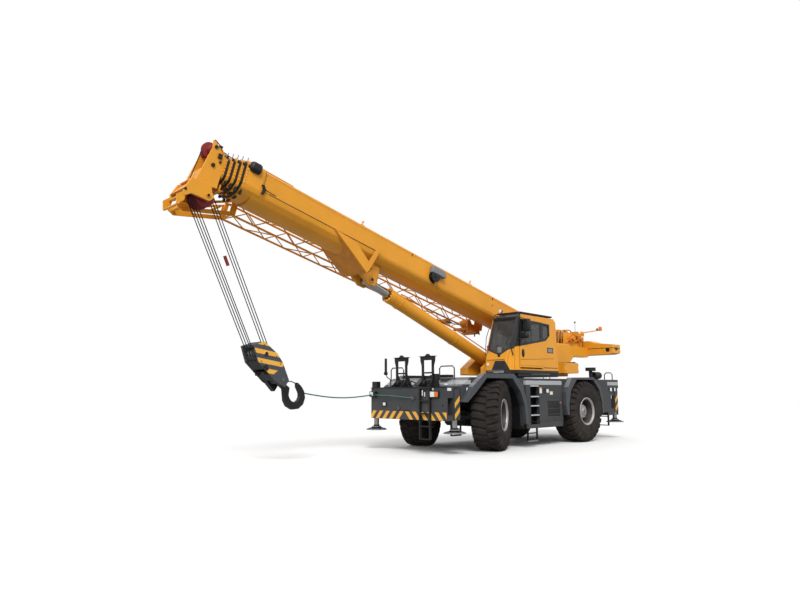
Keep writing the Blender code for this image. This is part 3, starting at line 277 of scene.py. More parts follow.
class Paint(Tree):
    def __init__(self, name, colour, rough=0.5, metal=0, vary=0.1, scale=1.5, bump=0, grain=60, coat=0,
                 alpha=1, dust=0, shine=0.3, soften=0):
        self.mat = bpy.data.materials.new(name)
        self.mat.use_nodes = True
        super().__init__(self.mat.node_tree)
        self.bsdf = self.tree.nodes["Principled BSDF"]
        for socket, value in (("Metallic", metal), ("Coat Weight", coat), ("Coat Roughness", 0.15),
                              ("Specular IOR Level", shine), ("Alpha", alpha), ("Base Color", (*colour, 1))):
            self.bsdf.inputs[socket].default_value = value
        coords = self.new("TexCoord").outputs["Object"]
        self.place = self.vector("ADD", coords, (3, 0, 0))
        noise = self.new("TexNoise", Scale=scale, Detail=5, Roughness=0.6)
        self.link(self.place, noise.inputs["Vector"])
        self.noise = noise.outputs["Fac"]
        if vary:
            low = tuple(c * (1 - vary) for c in colour)
            high = tuple(c * (1 + vary) for c in colour)
            self.colour = self.mix(self.ramp(self.noise, 0.35, 0.65, 0, 1), low, high)
        self.link(self.ramp(self.noise, 0.3, 0.7, rough - 0.05, rough + 0.07), self.bsdf.inputs["Roughness"])
        if dust:
            z = self.dot(self.place, (0, 0, 1))
            fade = self.ramp(z, 0.2, 1.9, dust, 0)
            spread = self.math("MULTIPLY", fade, self.ramp(self.noise, 0.35, 0.6, 0.2, 1))
            self.colour = self.mix(spread, self.colour, (0.16, 0.135, 0.11))
        if soften:
            edge = self.new("Bevel", Radius=soften)
            self.link(edge.outputs["Normal"], self.bsdf.inputs["Normal"])
        if bump:
            fine = self.new("TexNoise", Scale=grain, Detail=3)
            self.link(self.place, fine.inputs["Vector"])
            node = self.new("Bump", Strength=bump, Distance=0.01)
            if soften:
                self.link(edge.outputs["Normal"], node.inputs["Normal"])
            self.link(fine.outputs["Fac"], node.inputs["Height"])
            self.link(node.outputs["Normal"], self.bsdf.inputs["Normal"])
        if vary:
            self.link(self.colour, self.bsdf.inputs["Base Color"])

    def inside(self, *planes, both=False):
        # 1 where every plane's first three numbers times the place are above its fourth.
        place = self.vector("ABSOLUTE", self.place, (0, 0, 0)) if both else self.place
        result = None
        for a, b, c, d in planes:
            test = self.math("GREATER_THAN", self.dot(place, (a, b, c)), d)
            result = test if result is None else self.math("MULTIPLY", result, test)
        return result

    def facing(self, axis, least):
        normal = self.new("NewGeometry").outputs["True Normal"]
        return self.math("GREATER_THAN", self.dot(normal, axis), least)

    def over(self, mask, colour):
        self.colour = self.mix(mask, self.colour, colour)
        self.link(self.colour, self.bsdf.inputs["Base Color"])

    def cover(self, colour, *planes, both=False):
        self.over(self.inside(*planes, both=both), colour)


YELLOW = (0.76, 0.32, 0.022)
GREY = (0.04, 0.043, 0.048)
BLACK = (0.011, 0.011, 0.012)
boom_paint = Paint("boom_yellow", YELLOW, 0.38, vary=0.05, bump=0.03, soften=0.09).mat
yellow = Paint("upper_yellow", YELLOW, 0.38, vary=0.05, bump=0.03, soften=0.012).mat
ochre = Paint("dark_yellow", (0.6, 0.22, 0.02), vary=0.18, scale=4, bump=0.08).mat
grey = Paint("carrier_grey", GREY, bump=0.05, dust=0.25).mat
fender = Paint("fender_grey", (0.085, 0.092, 0.1), vary=0.08, bump=0.05).mat
light = Paint("light_grey", (0.48, 0.49, 0.5), 0.42, vary=0.08).mat
plate_grey = Paint("plate_grey", (0.2, 0.21, 0.22), vary=0.12, scale=4).mat
black = Paint("black_parts", BLACK, 0.45, vary=0.15, bump=0.05).mat
rubber = Paint("rubber", (0.026, 0.022, 0.02), 0.88, vary=0.25, scale=5, bump=0.35, grain=45, dust=0.1,
               shine=0.15).mat
dish = Paint("dark_dish", (0.05, 0.045, 0.04), 0.55, metal=0.1, vary=0.25, scale=6, dust=0.12).mat
silver = Paint("wheel_silver", (0.4, 0.4, 0.39), 0.42, metal=0.35, vary=0.12, scale=4, dust=0.25).mat
chrome = Paint("rod_chrome", (0.42, 0.41, 0.4), 0.16, metal=1, vary=0.05).mat
steel = Paint("dull_steel", (0.16, 0.16, 0.16), 0.45, metal=0.6, vary=0.2, scale=8).mat
red = Paint("sheave_red", (0.24, 0.022, 0.024), vary=0.15, scale=4).mat
rope = Paint("rope_steel", (0.022, 0.021, 0.02), 0.6, metal=0.3, vary=0.2, scale=30, bump=0.3, grain=90).mat
greased = Paint("greased_rope", (0.26, 0.13, 0.045), 0.55, metal=0.2, vary=0.3, scale=20).mat
white = Paint("sticker_white", (0.72, 0.72, 0.68), vary=0.04).mat
stripe = Paint("stripe_yellow", (0.8, 0.4, 0.05), 0.4, vary=0.06).mat
amber = Paint("amber_lens", (0.75, 0.17, 0.01), 0.2, vary=0.05).mat
crimson = Paint("red_lens", (0.55, 0.02, 0.02), 0.2, vary=0.05).mat
green = Paint("green_lens", (0.02, 0.25, 0.08), 0.2, vary=0.05).mat
clear = Paint("lamp_lens", (0.75, 0.78, 0.76), 0.12, vary=0.05, coat=0.5).mat
teal = Paint("lashing_green", (0.07, 0.2, 0.15), 0.8, vary=0.3, scale=40).mat
trim = Paint("cab_lining", (0.05, 0.05, 0.052), 0.8, bump=0.1).mat
seat = Paint("seat_cloth", (0.03, 0.03, 0.032), 0.9, vary=0.15, scale=20, bump=0.2, grain=120).mat
glass = Paint("window_glass", (0.13, 0.14, 0.14), 0.06, vary=0, alpha=0.32, shine=0.6).mat
dark_glass = Paint("tinted_glass", (0.018, 0.02, 0.02), 0.06, vary=0, alpha=0.8, shine=0.5).mat

# The cab and its door: yellow, with black round the glass and along the sill.
SIDE_BAND = ((0.157, 0, 1, 3.004), (0.743, 0, 1, 2.907), (1, 0, 0, -0.385), (0.045, 0, -1, -3.552),
             (0, 1, 0, 1.44))
FRONT_BAND = ((0, 0.371, 1, 2.96), (0, -0.529, 1, 1.985), (1, 0, 0.3, 2.16), (1, 0, 0, 1.06),
              (0, 1, 0, 0.645))
LINING = ((0, 1, 0, 0.665), (0, -1, 0, -1.455), (1, 0, -0.0615, -0.903), (-1, 0, -0.345, -2.4),
          (-1, 0, -0.18, -1.95), (0, 0, -1, -3.7), (0, 0, 1, 2.1), (-0.7236, -0.6908, 0, -1.9935),
          (-0.391, -0.92, 0, -1.829), (-0.2793, -0.9602, 0, -1.7427))
STEP_PATCH = ((1, 0, 0, 1.4), (0, 0, -1, -2.41), (0, 1, -0.52, -0.303), (0, -1, -0.385, -2.218))
cab = Paint("cab_yellow", YELLOW, 0.36, vary=0.04, bump=0.02, soften=0.025)
cab.cover(BLACK, *SIDE_BAND)
cab.cover((0.032, 0.032, 0.034), *FRONT_BAND)
cab.cover(BLACK, (0, 0, -1, -2.155))
cab.cover((0.02, 0.02, 0.022), *STEP_PATCH)
cab.cover((0.1, 0.103, 0.106), *LINING)
door = Paint("door_yellow", YELLOW, 0.36, vary=0.04, bump=0.02, soften=0.008)
door.cover(BLACK, SIDE_BAND[0], SIDE_BAND[3])
door.cover((0.04, 0.042, 0.045), (0, -1, 0, -1.508))

# The side bodies: dark, with pale deck plates, pale upper strips, lighter fenders and black wheel wells.
sides = Paint("body_grey", GREY, bump=0.05, dust=0.2, soften=0.02)
sides.cover((0.062, 0.067, 0.074), (0, 1, 0, 1.505), both=True)
top = sides.math("MULTIPLY", sides.facing((0, 0, 1), 0.5), sides.inside((0, 0, 1, 1.68)))
dots = sides.new("TexVoronoi", Scale=14, Randomness=0)
sides.link(sides.place, dots.inputs["Vector"])
dot = sides.ramp(dots.outputs["Distance"], 0.16, 0.24, 1, 0)
dotted = sides.mix(dot, (0.17, 0.175, 0.185), (0.36, 0.37, 0.38))
sides.over(top, dotted)
for x_low, x_high in ((-0.96, 0.94), (3.24, 3.7), (-4.6, -3.8)):
    sides.cover((0.38, 0.39, 0.4), (1, 0, 0, x_low), (-1, 0, 0, -x_high), (0, 0, 1, 1.745),
                (0, 0, -1, -1.855))
sides.cover((0.01, 0.01, 0.011), (0, -1, 0, -1.405), (0, 0, -1, -1.68), both=True)
sides.cover(BLACK, (0, 1, 0, 1.39), (0, -1, 0, -1.475), (0, 0, -1, -0.62), both=True)

weight_paint = Paint("weight_yellow", YELLOW, 0.42, vary=0.06, bump=0.04)
weight_paint.cover((0.06, 0.03, 0.01), (0, 0, 1, 3), (0, 0, -1, -3.022))

block = Paint("block_grey", (0.06, 0.066, 0.074), bump=0.05)
height = block.dot(block.place, (-0.15, 0, 0.989))
band = block.math("FRACT", block.math("DIVIDE", height, 0.19))
on_cheek = block.inside((0, 1, 0, 0.2785), (0.59, 0, 0.776, 6.46), both=True)
striped = block.math("MULTIPLY", on_cheek, block.math("GREATER_THAN", band, 0.5))
block.over(striped, (0.82, 0.42, 0.06))

# Each look with the first letters of the solids that have it; the others are grey.
LOOKS = (
    (boom_paint, "boom_base"), (weight_paint.mat, "counterweight"),
    (cab.mat, "cab_shell"), (door.mat, "cab_door"),
    (yellow, "boom_head turntable_frame lift_cylinder_barrel lattice_jib"),
    (block.mat, "hook_block"), (sides.mat, "carrier_body"),
    (seat, "operator_seat"), (chrome, "lift_cylinder_rod"), (rope, "hoist_rope"),
    (red, "head_sheave"), (steel, "block_sheaves"), (rubber, "tyre"),
    (silver, "rim"), (fender, "jack"), (ochre, "winch"),
    (black, "cab_mount hook air_cleaner muffler engine deck_stand front_ladder rear_ladder"),
)
# Each section's collar is dark along its rear half; s runs along the boom.
COLLAR_S = [11.672 + 0.112 * i for i in range(4)]
sections = {}
for i, s in enumerate(COLLAR_S):
    paint = Paint(f"section_yellow_{i + 2}", YELLOW, 0.38, vary=0.05, bump=0.03)
    paint.cover((0.012, 0.01, 0.009), (0.9703, 0, 0.2419, s - 0.005 - 1.1322),
                (-0.9703, 0, -0.2419, 1.1322 - s - 0.05))
    sections[f"boom_section_{i + 2}"] = paint.mat
for name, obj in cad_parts.items():
    found = [mat for mat, starts in LOOKS if name.startswith(tuple(starts.split()))]
    obj.data.materials.clear()
    obj.data.materials.append(sections.get(name) or (found + [grey])[0])

# Wheels: tread lugs staggered about the middle, dished rims with hubs and nuts.
LUGS = 28
PARTS = (0, 0.05, 0.15, 0.27, 0.32, 0.4, 0.5, 0.55, 0.65, 0.77, 0.82, 0.9)
HALF_TYRE = (
    (0.315, 0.405, 0), (0.345, 0.44, 0), (0.362, 0.49, 0), (0.366, 0.5, 0), (0.372, 0.56, 0),
    (0.375, 0.64, 0), (0.374, 0.715, 0), (0.366, 0.73, 0), (0.371, 0.765, 0.012), (0.367, 0.805, 0.034),
    (0.358, 0.85, 0.048), (0.344, 0.888, 0.05), (0.322, 0.914, 0.05), (0.285, 0.927, 0.048),
    (0.22, 0.932, 0.044), (0.15, 0.934, 0.042),
)
TYRE_LINE = [(-y, r, d) for y, r, d in HALF_TYRE]
TYRE_LINE += [(-0.06, 0.935, 0.04), (0.035, 0.935, 0.038), (0.05, 0.915, 0.012), (0.066, 0.915, 0.012),
              (0.081, 0.935, 0.038), (0.11, 0.934, 0.04)]
TYRE_LINE += list(reversed(HALF_TYRE))


def tyre():
    n = len(TYRE_LINE)
    points = []
    for i in range(LUGS):
        for part in PARTS:
            for j, (y, r, depth) in enumerate(TYRE_LINE):
                y0, r0 = TYRE_LINE[max(j - 1, 0)][:2]
                y1, r1 = TYRE_LINE[min(j + 1, n - 1)][:2]
                size = hypot(y1 - y0, r1 - r0)
                out = (-(r1 - r0) / size, (y1 - y0) / size)
                along = part if y > 0.058 else (part + 0.5) % 1
                low = 0 if 0.03 < along < 0.76 else 1
                turn = (i + part + 0.3 * min(1, abs(y - 0.058) / 0.3)) * 2 * pi / LUGS
                rr = r - low * depth * out[1]
                points.append((rr * cos(turn), y - low * depth * out[0], rr * sin(turn)))
    return points, grid(LUGS * len(PARTS), n, True)


HUB_LINE = ((0.02, 0), (0.235, 0), (0.24, 0.085), (0.225, 0.1), (0.205, 0.105), (0.2, 0.19), (0.175, 0.212),
            (0.11, 0.22))
DISH_LINE = ((0.112, 0.216), (0.06, 0.228), (0.03, 0.24), (0.022, 0.3), (0.04, 0.325), (0.15, 0.338),
             (0.232, 0.343), (0.262, 0.36), (0.302, 0.366))
LIP_LINE = ((0.3, 0.3655), (0.322, 0.372), (0.338, 0.392), (0.349, 0.402), (0.35, 0.42), (0.34, 0.43),
            (0.322, 0.426), (0.3, 0.4), (-0.3, 0.4), (-0.345, 0.43), (-0.35, 0.4), (-0.18, 0.375),
            (-0.05, 0.36), (-0.02, 0.3), (-0.02, 0.09))
tyre_mesh = tyre()
WHEELS = (("front_left", 2.23, 1, 23.8), ("front_right", 2.23, -1, 23.8), ("rear_left", -2.16, 1, 0),
          ("rear_right", -2.16, -1, 0))
for word, x, side, steer in WHEELS:
    at = wheel_frame(x, side, steer)
    body = "wheel_" + word
    make("tread_" + word, body, rubber, [tyre_mesh], at, sharp=28, replaces=["tyre_" + word])
    make("rim_lip_" + word, body, silver, [lathe(LIP_LINE, 72), lathe(HUB_LINE, 48)], at, sharp=30,
         replaces=["rim_" + word])
    make("dish_" + word, body, dish, [lathe(DISH_LINE, 72)], at, sharp=30)
    nuts = [bolt(0.268 * cos(t), 0.034, 0.268 * sin(t), "y", 0.015, 0.022) for t in angles(20)]
    nuts += [bolt(0.15 * cos(t), 0.204, 0.15 * sin(t), "y", 0.012, 0.01) for t in angles(12)]
    nuts.append(lathe([(0.236, 0), (0.246, 0), (0.246, 0.05), (0.236, 0.055)], 20))
    nuts.append(tube([(0, 0.3, 0.385), (0, 0.34, 0.375)], 0.01))
    make("nuts_" + word, body, steel, nuts, at)

# Carrier: warning stripes, lamps, blank stickers, louvres and steps.
FACE = 4.1252
BAR_END = 1.405
bars = []
for k in range(7):
    for s in (1, -1):
        start = 0.03 + 0.265 * k
        bar = [(s * (start + d) - 0.095, z)
               for d, z in ((0, 1.05), (0.132, 1.05), (0.302, 0.845), (0.17, 0.845))]
        bar = clip(clip(bar, 1, BAR_END), -1, BAR_END)
        if len(bar) > 2:
            bars.append(prism(bar, FACE, FACE + 0.002, "x"))
for k in range(10):
    y0 = -1.38 + 0.265 * k
    bar = [(y0, 0.765), (y0 + 0.13, 0.765), (y0 + 0.3, 0.96), (y0 + 0.17, 0.96)]
    bars.append(prism(clip(bar, 1, BAR_END), -4.5325, -4.5305, "x"))
make("warning_stripes", "carrier", stripe, bars)
make("bumper_fittings", "carrier", black, [
    box(FACE, FACE + 0.012, -1.41, 1.41, 1.655, 1.68),
    box(4.125, 4.21, -1.4, -1.16, 1.42, 1.57), box(3.98, 4.12, -1.385, -1.19, 1.68, 1.84),
    box(4.125, 4.15, -0.92, -0.78, 1.17, 1.29), disc((1.28, 1.22), 0.028, 4.12, 4.128, "x"),
    box(4.125, 4.165, 0.83, 1.17, 1.41, 1.58), box(4.125, 4.135, -0.12, 0.12, 1.06, 1.09),
    box(3.7, 3.82, 0.66, 0.78, 1.69, 2.02), box(3.3, 3.56, 0.3, 0.92, 1.93, 2),
    disc((3.83, 0.495), 0.07, 1.7, 1.86, "z"), disc((3.83, -0.495), 0.07, 1.7, 1.86, "z"),
], bevel=0.008)
BACK = (-4.545, -4.5302)
SIDE = 1.5005
make("marker_lamps", "carrier", clear, [
    box(4.15, 4.156, -0.9, -0.8, 1.19, 1.27), box(4.21, 4.216, -1.37, -1.25, 1.45, 1.55),
    box(4.165, 4.175, 0.85, 1.03, 1.43, 1.56), box(3.96, 4.1, 1.411, 1.42, 1.58, 1.65),
    box(3.28, 3.42, 1.451, 1.456, 1.56, 1.66), box(-4.08, -3.96, 1.451, 1.458, 1.55, 1.66),
    box(-4.32, -4.24, 1.451, 1.458, 1.55, 1.66), disc((4.02, 1.3), 0.05, 1.73, 1.76, "z", 16),
] + mirrored([box(*BACK, 0.2, 0.34, 1.3, 1.42)]), bevel=0.004)
make("amber_lamps", "carrier", amber, [
    box(4.165, 4.172, 1.04, 1.15, 1.43, 1.56), box(-0.86, -0.8, 1.501, 1.508, 1.2, 1.24),
] + mirrored([box(*BACK, 1.16, 1.34, 1.3, 1.38)]), bevel=0.004)
make("tail_lamps", "carrier", crimson, [
    box(4.166, 4.171, 1.035, 1.045, 1.43, 1.56),
] + mirrored([box(*BACK, 1.16, 1.34, 1.39, 1.5)]), bevel=0.004)
make("blank_stickers", "carrier", white, [
    box(0.12, 0.235, SIDE, 1.502, 1.5, 1.67), box(-0.24, -0.12, SIDE, 1.502, 1.52, 1.62),
    box(-0.44, -0.29, SIDE, 1.502, 1.46, 1.56), box(FACE, FACE + 0.002, 0.93, 0.97, 1.6, 1.65),
    box(-4.03, -4, 1.4505, 1.452, 1.3, 1.42), box(4.186, 4.19, 0.62, 0.65, 1.46, 1.6),
    box(4.186, 4.19, 0.7, 0.73, 1.44, 1.55),
])
make("sticker_tops", "carrier", stripe, [
    box(0.12, 0.235, 1.502, 1.503, 1.62, 1.67), box(-0.44, -0.29, 1.502, 1.503, 1.535, 1.56),
])
make("side_details", "carrier", black, [
    box(-0.07, 0.03, SIDE, 1.504, 1.5, 1.64), box(-0.865, -0.1, SIDE, 1.502, 1.365, 1.372),
    box(-0.865, -0.1, SIDE, 1.502, 0.78, 0.787), disc((-0.5, 0.745), 0.022, 1.5, 1.506),
    box(0.265, 0.272, SIDE, 1.503, 0.62, 1.7), box(0.688, 0.695, SIDE, 1.503, 0.62, 1.7),
] + mirrored([box(-0.94, 0.92, SIDE, 1.503, 0.7, 0.712)]
             + [box(-0.79, -0.17, SIDE, 1.508, 0.86 + 0.055 * i, 0.88 + 0.055 * i) for i in range(8)]))
rungs = [box(0.275, 0.685, 1.44, 1.508, z, z + 0.035) for z in (0.872, 1.132, 1.392, 1.692)]
rungs += [box(0.33, 0.79, 1.405, 1.465, 0.168, 0.182)]
make("step_edges", "carrier", light, mirrored(rungs), bevel=0.004)
make("deck_edges", "carrier", light, mirrored([
    box(-0.92, 0.88, 1.452, 1.5, 1.852, 1.862), box(3.28, 3.6, 1.3, 1.449, 1.74, 1.742),
]))

# Uprights on the deck, with peaked tops, brackets and gussets, then the lashing and the towing eyes.
fits = []
for y in (0.495, -0.495):
    fits += [
        prism([(y - 0.09, 2.488), (y + 0.09, 2.488), (y + 0.02, 2.545), (y - 0.02, 2.545)], 3.8, 3.86, "x"),
        box(3.76, 3.9, y - 0.27, y + 0.27, 2.475, 2.488), disc((3.95, 1.77), 0.06, y - 0.03, y + 0.03),
        tube([(3.88, y - 0.14, 1.76), (3.88, y - 0.07, 1.84), (3.88, y + 0.07, 1.84), (3.88, y + 0.14, 1.76)],
             0.018),
    ]
    for s in (1, -1):
        edge = y + s * 0.2
        plate = (y + s * 0.175, y + s * 0.195)
        fits += [
            prism([(edge, 2.2), (edge, 2.44), (y + s * 0.26, 2.47), (y + s * 0.255, 2.36)], 3.81, 3.85, "x"),
            prism([(3.6, 1.69), (3.81, 1.69), (3.81, 2.06)], *plate),
            prism([(4.06, 1.69), (3.85, 1.69), (3.85, 1.86)], *plate),
            prism([(edge, 1.69), (y + s * 0.3, 1.69), (edge, 1.82)], 3.81, 3.85, "x"),
        ]
fits += [
    tube([(4, -0.95, 2.02), (4, -0.95, 2.47)], 0.036, 10), disc((4, 2.06), 0.05, -0.98, -0.92),
    bent([(4, -0.95, 2.08), (4, -0.9, 1.95), (4, -0.77, 1.9), (4, -0.76, 1.68)], 0.014),
    tube([(3.95, y, z) for y, z in ((0.2, 1.7), (0.14, 1.8), (0.02, 1.83), (-0.1, 1.8), (-0.16, 1.7))], 0.02),
]
make("deck_fittings", "carrier", black, fits, bevel=0.004)

lash = [(7.53 - 3.33 * t, -1.3 * t, 1.56 - 0.085 * t - 0.1 * sin(pi * t))
        for t in [i / 14 for i in range(15)]]
make("hook_lashing", "carrier", teal, [
    tube(lash, 0.016), tube([(4.2, -1.3, 1.475), (4.2, -0.6, 1.46), (4.16, 0.25, 1.4)], 0.012, 6),
])
make("towing_eyes", "carrier", steel, [
    tube([(4.18 + 0.045 * cos(a), 0.28, 1.4 + 0.045 * sin(a)) for a in angles(16)], 0.014, closed=True),
    box(4.125, 4.17, 0.25, 0.31, 1.37, 1.43), box(4.125, 4.17, -0.31, -0.25, 1.1, 1.16),
])

# Under the carrier: propeller shafts, and bent brackets and rods beside the axles.
under = [tube([(a, 0, 0.95), (b, 0, 0.98)], 0.055, 12) for a, b in ((1.95, 0.98), (-1.88, -0.95))]
for x in (2.23, -2.16):
    for s in (1, -1):
        for d in (-1, 1):
            under.append(bent([(x + d * 0.35, s * 0.3, 1.25), (x + d * 0.35, s * 0.36, 1.02),
                               (x + d * 0.12, s * 0.5, 1.02)], 0.035))
        under.append(tube([(x + 0.24, s * 0.1, 0.9), (x + 0.24, s * 0.62, 0.9)], 0.028, 10))
make("driveline", "carrier", grey, under)

# Outrigger ends: float rims and ribs and the jack's tube ride with the jack, the rest with the beam.
for word, x, side in (("front_left", 3.762, 1), ("front_right", 3.988, -1), ("rear_left", -4.4, 1),
                      ("rear_right", -4.174, -1)):
    y = side * 1.34
    float_line = [(0.52, 0), (0.52, 0.275), (0.528, 0.2845), (0.545, 0.2845), (0.552, 0.275), (0.552, 0)]
    make("float_plate_" + word, "jack_" + word, plate_grey, [
        lathe(float_line, 40, "z", at=(x, y, 0)), disc((x, y), 0.135, 0.6, 0.622, "z", 24),
    ])
    ribs = [disc((x, y), 0.085, 0.55, 0.66, "z"), disc((x, y), 0.078, 1.3, 1.589, "z")]
    for k in range(6):
        turned = Matrix.Translation((x, y, 0)) @ Matrix.Rotation(pi / 3 * k + 0.3, 4, "Z")
        rib = prism([(0.06, 0.55), (0.25, 0.55), (0.24, 0.565), (0.1, 0.6), (0.06, 0.6)], -0.008, 0.008)
        ribs.append(put(turned, rib))
    make("float_ribs_" + word, "jack_" + word, black, ribs)
    bar = [(x + 0.093, 0), (x + 0.093, 0.13), (x - 0.093, 0.31), (x - 0.093, 0.18)]
    make("beam_stripes_" + word, "beam_" + word, stripe, [
        prism([(a, z + low) for a, z in bar], side * 1.4352, side * 1.437) for low in (0.87, 1.15)])
    make("jack_tube_" + word, "jack_" + word, chrome, [disc((x, y), 0.0698, 0.66, 1.31, "z", 24)],
         replaces=["jack_" + word])
    make("jack_cap_" + word, "beam_" + word, black, [disc((x, y), 0.088, 1.6, 1.635, "z")], bevel=0.004)

# Upper part: covers, seams, bolts, hoses, winch ropes, beacon, and on the counterweight a dark seam and black
# discs painted as shade over its holes.
SKIN = 0.5605
DRUM_Z = 3.33
DRUMS = (("main", -3.2), ("auxiliary", -3.72))
make("turntable_covers", UPPER, yellow, mirrored([prism([
    (-2.08, 3.085), (-2.86, 3.115), (-3.06, 3.06), (-3.17, 2.93), (-3.185, 2.69), (-2.9, 2.44), (-2.8, 2.12),
    (-2.78, 2.07), (-2.08, 2.07)], SKIN, 0.592)]), bevel=0.012)
make("turntable_seams", UPPER, black, mirrored([
    prism([(-1.5, 2.14), (-1.49, 2.14), (-1.32, 3.04), (-1.33, 3.04)], SKIN, 0.562),
    box(0.2, 1.1, SKIN, 0.562, 2.18, 2.186),
    disc((-1.85, 2.74), 0.055, 0.6, 0.614, count=24), disc((-2.62, 2.3), 0.05, 0.592, 0.597),
    prism([(0.42, 2.16), (0.98, 2.16), (0.92, 2.38), (0.56, 2.44)], SKIN, 0.562),
]) + [box(-2.76, -1.97, 0.57, 0.985, 2.461, 2.468), box(-2.7, -2.62, 0.6, 0.95, 2.468, 2.5)])
bolts = [bolt(x, s * 0.562, z) for s in (1, -1) for x, z in (
    (-2.6, 2.95), (-2.2, 3.02), (-1.6, 2.98), (-2.75, 2.6), (-1.1, 2.88), (-0.7, 2.58), (-0.2, 2.55),
    (-0.1, 2.2), (-1, 2.2), (-2.1, 2.18))]
bolts += [bolt(-1.85 + 0.125 * cos(a), s * 0.602, 2.74 + 0.125 * sin(a)) for s in (1, -1) for a in angles(8)]
bolts += [bolt(x, 1.001, z) for x in (-2.768, -2) for z in (2.2, 2.4)]
make("upper_bolts", UPPER, steel, bolts)
pipes = []
for i in range(6):
    y = 0.3 - 0.12 * i
    pipes.append(bent([(-2.92, y, 3.1), (-3, y, 3.62 - 0.02 * (i % 3)),
                       (-3.45, y + 0.05, 3.64 - 0.03 * (i % 2)), (-3.6, y + 0.03, 3.48),
                       (-3.95, y, 3.44)], 0.02, 8, 0.09))
for s in (1, -1):
    pipes.append(bent([(-2.86, s * 0.5, 3.14), (-3.1, s * 0.52, 3.3), (-3.45, s * 0.52, 3.22),
                       (-3.8, s * 0.52, 3.4), (-4.02, s * 0.5, 3.3), (-4.1, s * 0.42, 3.08)], 0.024, 8, 0.1))
    for word, x in DRUMS:
        pipes.append(disc((x, DRUM_Z), 0.13, s * 0.46, s * 0.56))
        pipes.append(disc((x, DRUM_Z), 0.07, s * 0.56, s * 0.66, count=16))
        pipes += [bolt(x + 0.1 * cos(t), s * 0.562, DRUM_Z + 0.1 * sin(t)) for t in angles(8)]
    pipes.append(box(-3.55, -3.38, s * 0.465, s * 0.6, 3.42, 3.56))
pipes += [box(-3.98, -3.86, 0.1, 0.36, 3.4, 3.62), box(-3.3, -3.12, -0.22, 0.1, 3.6, 3.66),
          tube([(-4.1, 0.3, 3.3), (-4.22, 0.3, 3.44), (-4.3, 0.3, 3.4)], 0.03)]
make("winch_clutter", UPPER, ochre, pipes)
for word, x in DRUMS:
    wraps = []
    for layer, wrap_r in ((0, 0.211), (1, 0.229)):
        strand = [(0.0111 * cos(a), wrap_r + 0.0105 * sin(a)) for a in angles(8)]
        for i in range(30):
            y = -0.325 + 0.0222 * i + 0.011 * layer
            if abs(y) < 0.33:
                wraps.append(lathe(strand, 28, closed=True, at=(x, y, DRUM_Z)))
    make("rope_wraps_" + word, UPPER, greased, wraps)
hoses = []
for x, y in ((-2.45, 0.2), (-2.4, 0.05), (-2.35, -0.1), (-2.5, -0.25)):
    hoses.append(bent([(x, y, 2.13), (x - 0.1, y, 2.28), (-2.97, y, 2.32), (-3, y, 3.05)], 0.022, 8, 0.12))
for y, d in ((0.36, 0), (0.4, 0.04)):
    hoses.append(bent([(0.95, y, 2.13), (0.6 + d, y, 2.5 + 1.5 * d), (0.1 - d, y - 0.02, 2.46 + 1.5 * d),
                       (-0.2 - d, y - 0.03, 2.25)], 0.022, 8, 0.12))
make("upper_hoses", UPPER, black, hoses)
make("beacon_arm", UPPER, yellow, [
    tube([(-3.98, 0.48, 3.52), (-4.06, 0.5, 3.58), (-4.5, 0.86, 3.672)], 0.02),
    box(-4.15, -3.95, 0.44, 0.47, 3.45, 3.62),
])
make("beacon", UPPER, amber, [disc((-4.545, 0.885), 0.055, 3.65, 3.79, "z")], bevel=0.01)
BALL = ((-0.035, 0), (-0.025, 0.025), (0, 0.035), (0.025, 0.025), (0.035, 0))
make("antenna", UPPER, steel, [
    tube([(-3.52, 0.5, 3.54), (-3.52, 0.5, 3.9)], 0.007, 6), lathe(BALL, 16, "z", at=(-3.52, 0.5, 3.91)),
    box(-4.46, -4.4, 0.8, 0.86, 3.67, 3.73),
])
# Counterweight: the black discs over its holes are painted shade; the thin strip along its side is a dark
# seam.
make("weight_seam_and_hole_shade", UPPER, black, mirrored([
    disc((1.31, 2.95), 0.075, -4.207, -4.199, "x", 24), disc((1.31, 2.95), 0.075, -4.749, -4.741, "x", 24),
    put(Matrix.Translation((-4.475, 1.4805, 2.985)) @ Matrix.Scale(1.9, 4, (1, 0, 0)),
        disc((0, 0), 0.055, -0.003, 0.003, count=28)),
    box(-4.74, -4.21, 1.474, 1.482, 3.004, 3.012),
]))

# Cab: glass, frames, guard, lamps, mirrors and what shows inside.


def front_x(z):
    return 1.5 - (z - 2.74) * 0.341 if z > 2.74 else 1.565 - (z - 2.4) * 0.191


CORNER = ((1.565, 1.29), (1.46, 1.4), (1.3, 1.468), (1.19, 1.5))


def corner_x(y):
    for (x0, y0), (x1, y1) in zip(CORNER, CORNER[1:]):
        if y0 <= y <= y1:
            return x0 + (x1 - x0) * (y - y0) / (y1 - y0)
    return 9


corner = []
for z, outline in (
        (2.105, ((1.525, 1.329), (1.4585, 1.3985), (1.32, 1.457), (1.3, 1.4), (1.4, 1.34), (1.48, 1.29))),
        (2.74, ((1.488, 1.367), (1.4585, 1.3985), (1.32, 1.457), (1.3, 1.4), (1.4, 1.34), (1.46, 1.33))),
        (3.1, ((1.368, 1.437), (1.36, 1.44), (1.32, 1.457), (1.3, 1.4), (1.31, 1.4), (1.32, 1.41)))):
    corner += [(x, y, z) for x, y in outline]
ends = [tuple(range(6)), tuple(range(12, 18))]
make("cab_corner_panel", UPPER, cab.mat, [(corner, ends + grid(3, 6, around=True))])
rows = [2.56, 2.62, 2.68, 2.74, 2.8] + [2.8 + 0.83 * i / 14 for i in range(1, 15)]
columns = [0.68 + 0.75 * i / 24 for i in range(25)]
sheet = [(min(front_x(z), corner_x(y)) - 0.022, y, z) for z in rows for y in columns]
make("windshield_glass", UPPER, glass, [(sheet, grid(len(rows), len(columns)))], sharp=60)
make("cab_side_glass", UPPER, glass, [
    prism([(0.02, 3.53), (-0.36, 3.51), (-0.36, 3.16), (-0.18, 3.03), (0.02, 3.05)], 1.472, 1.478),
])
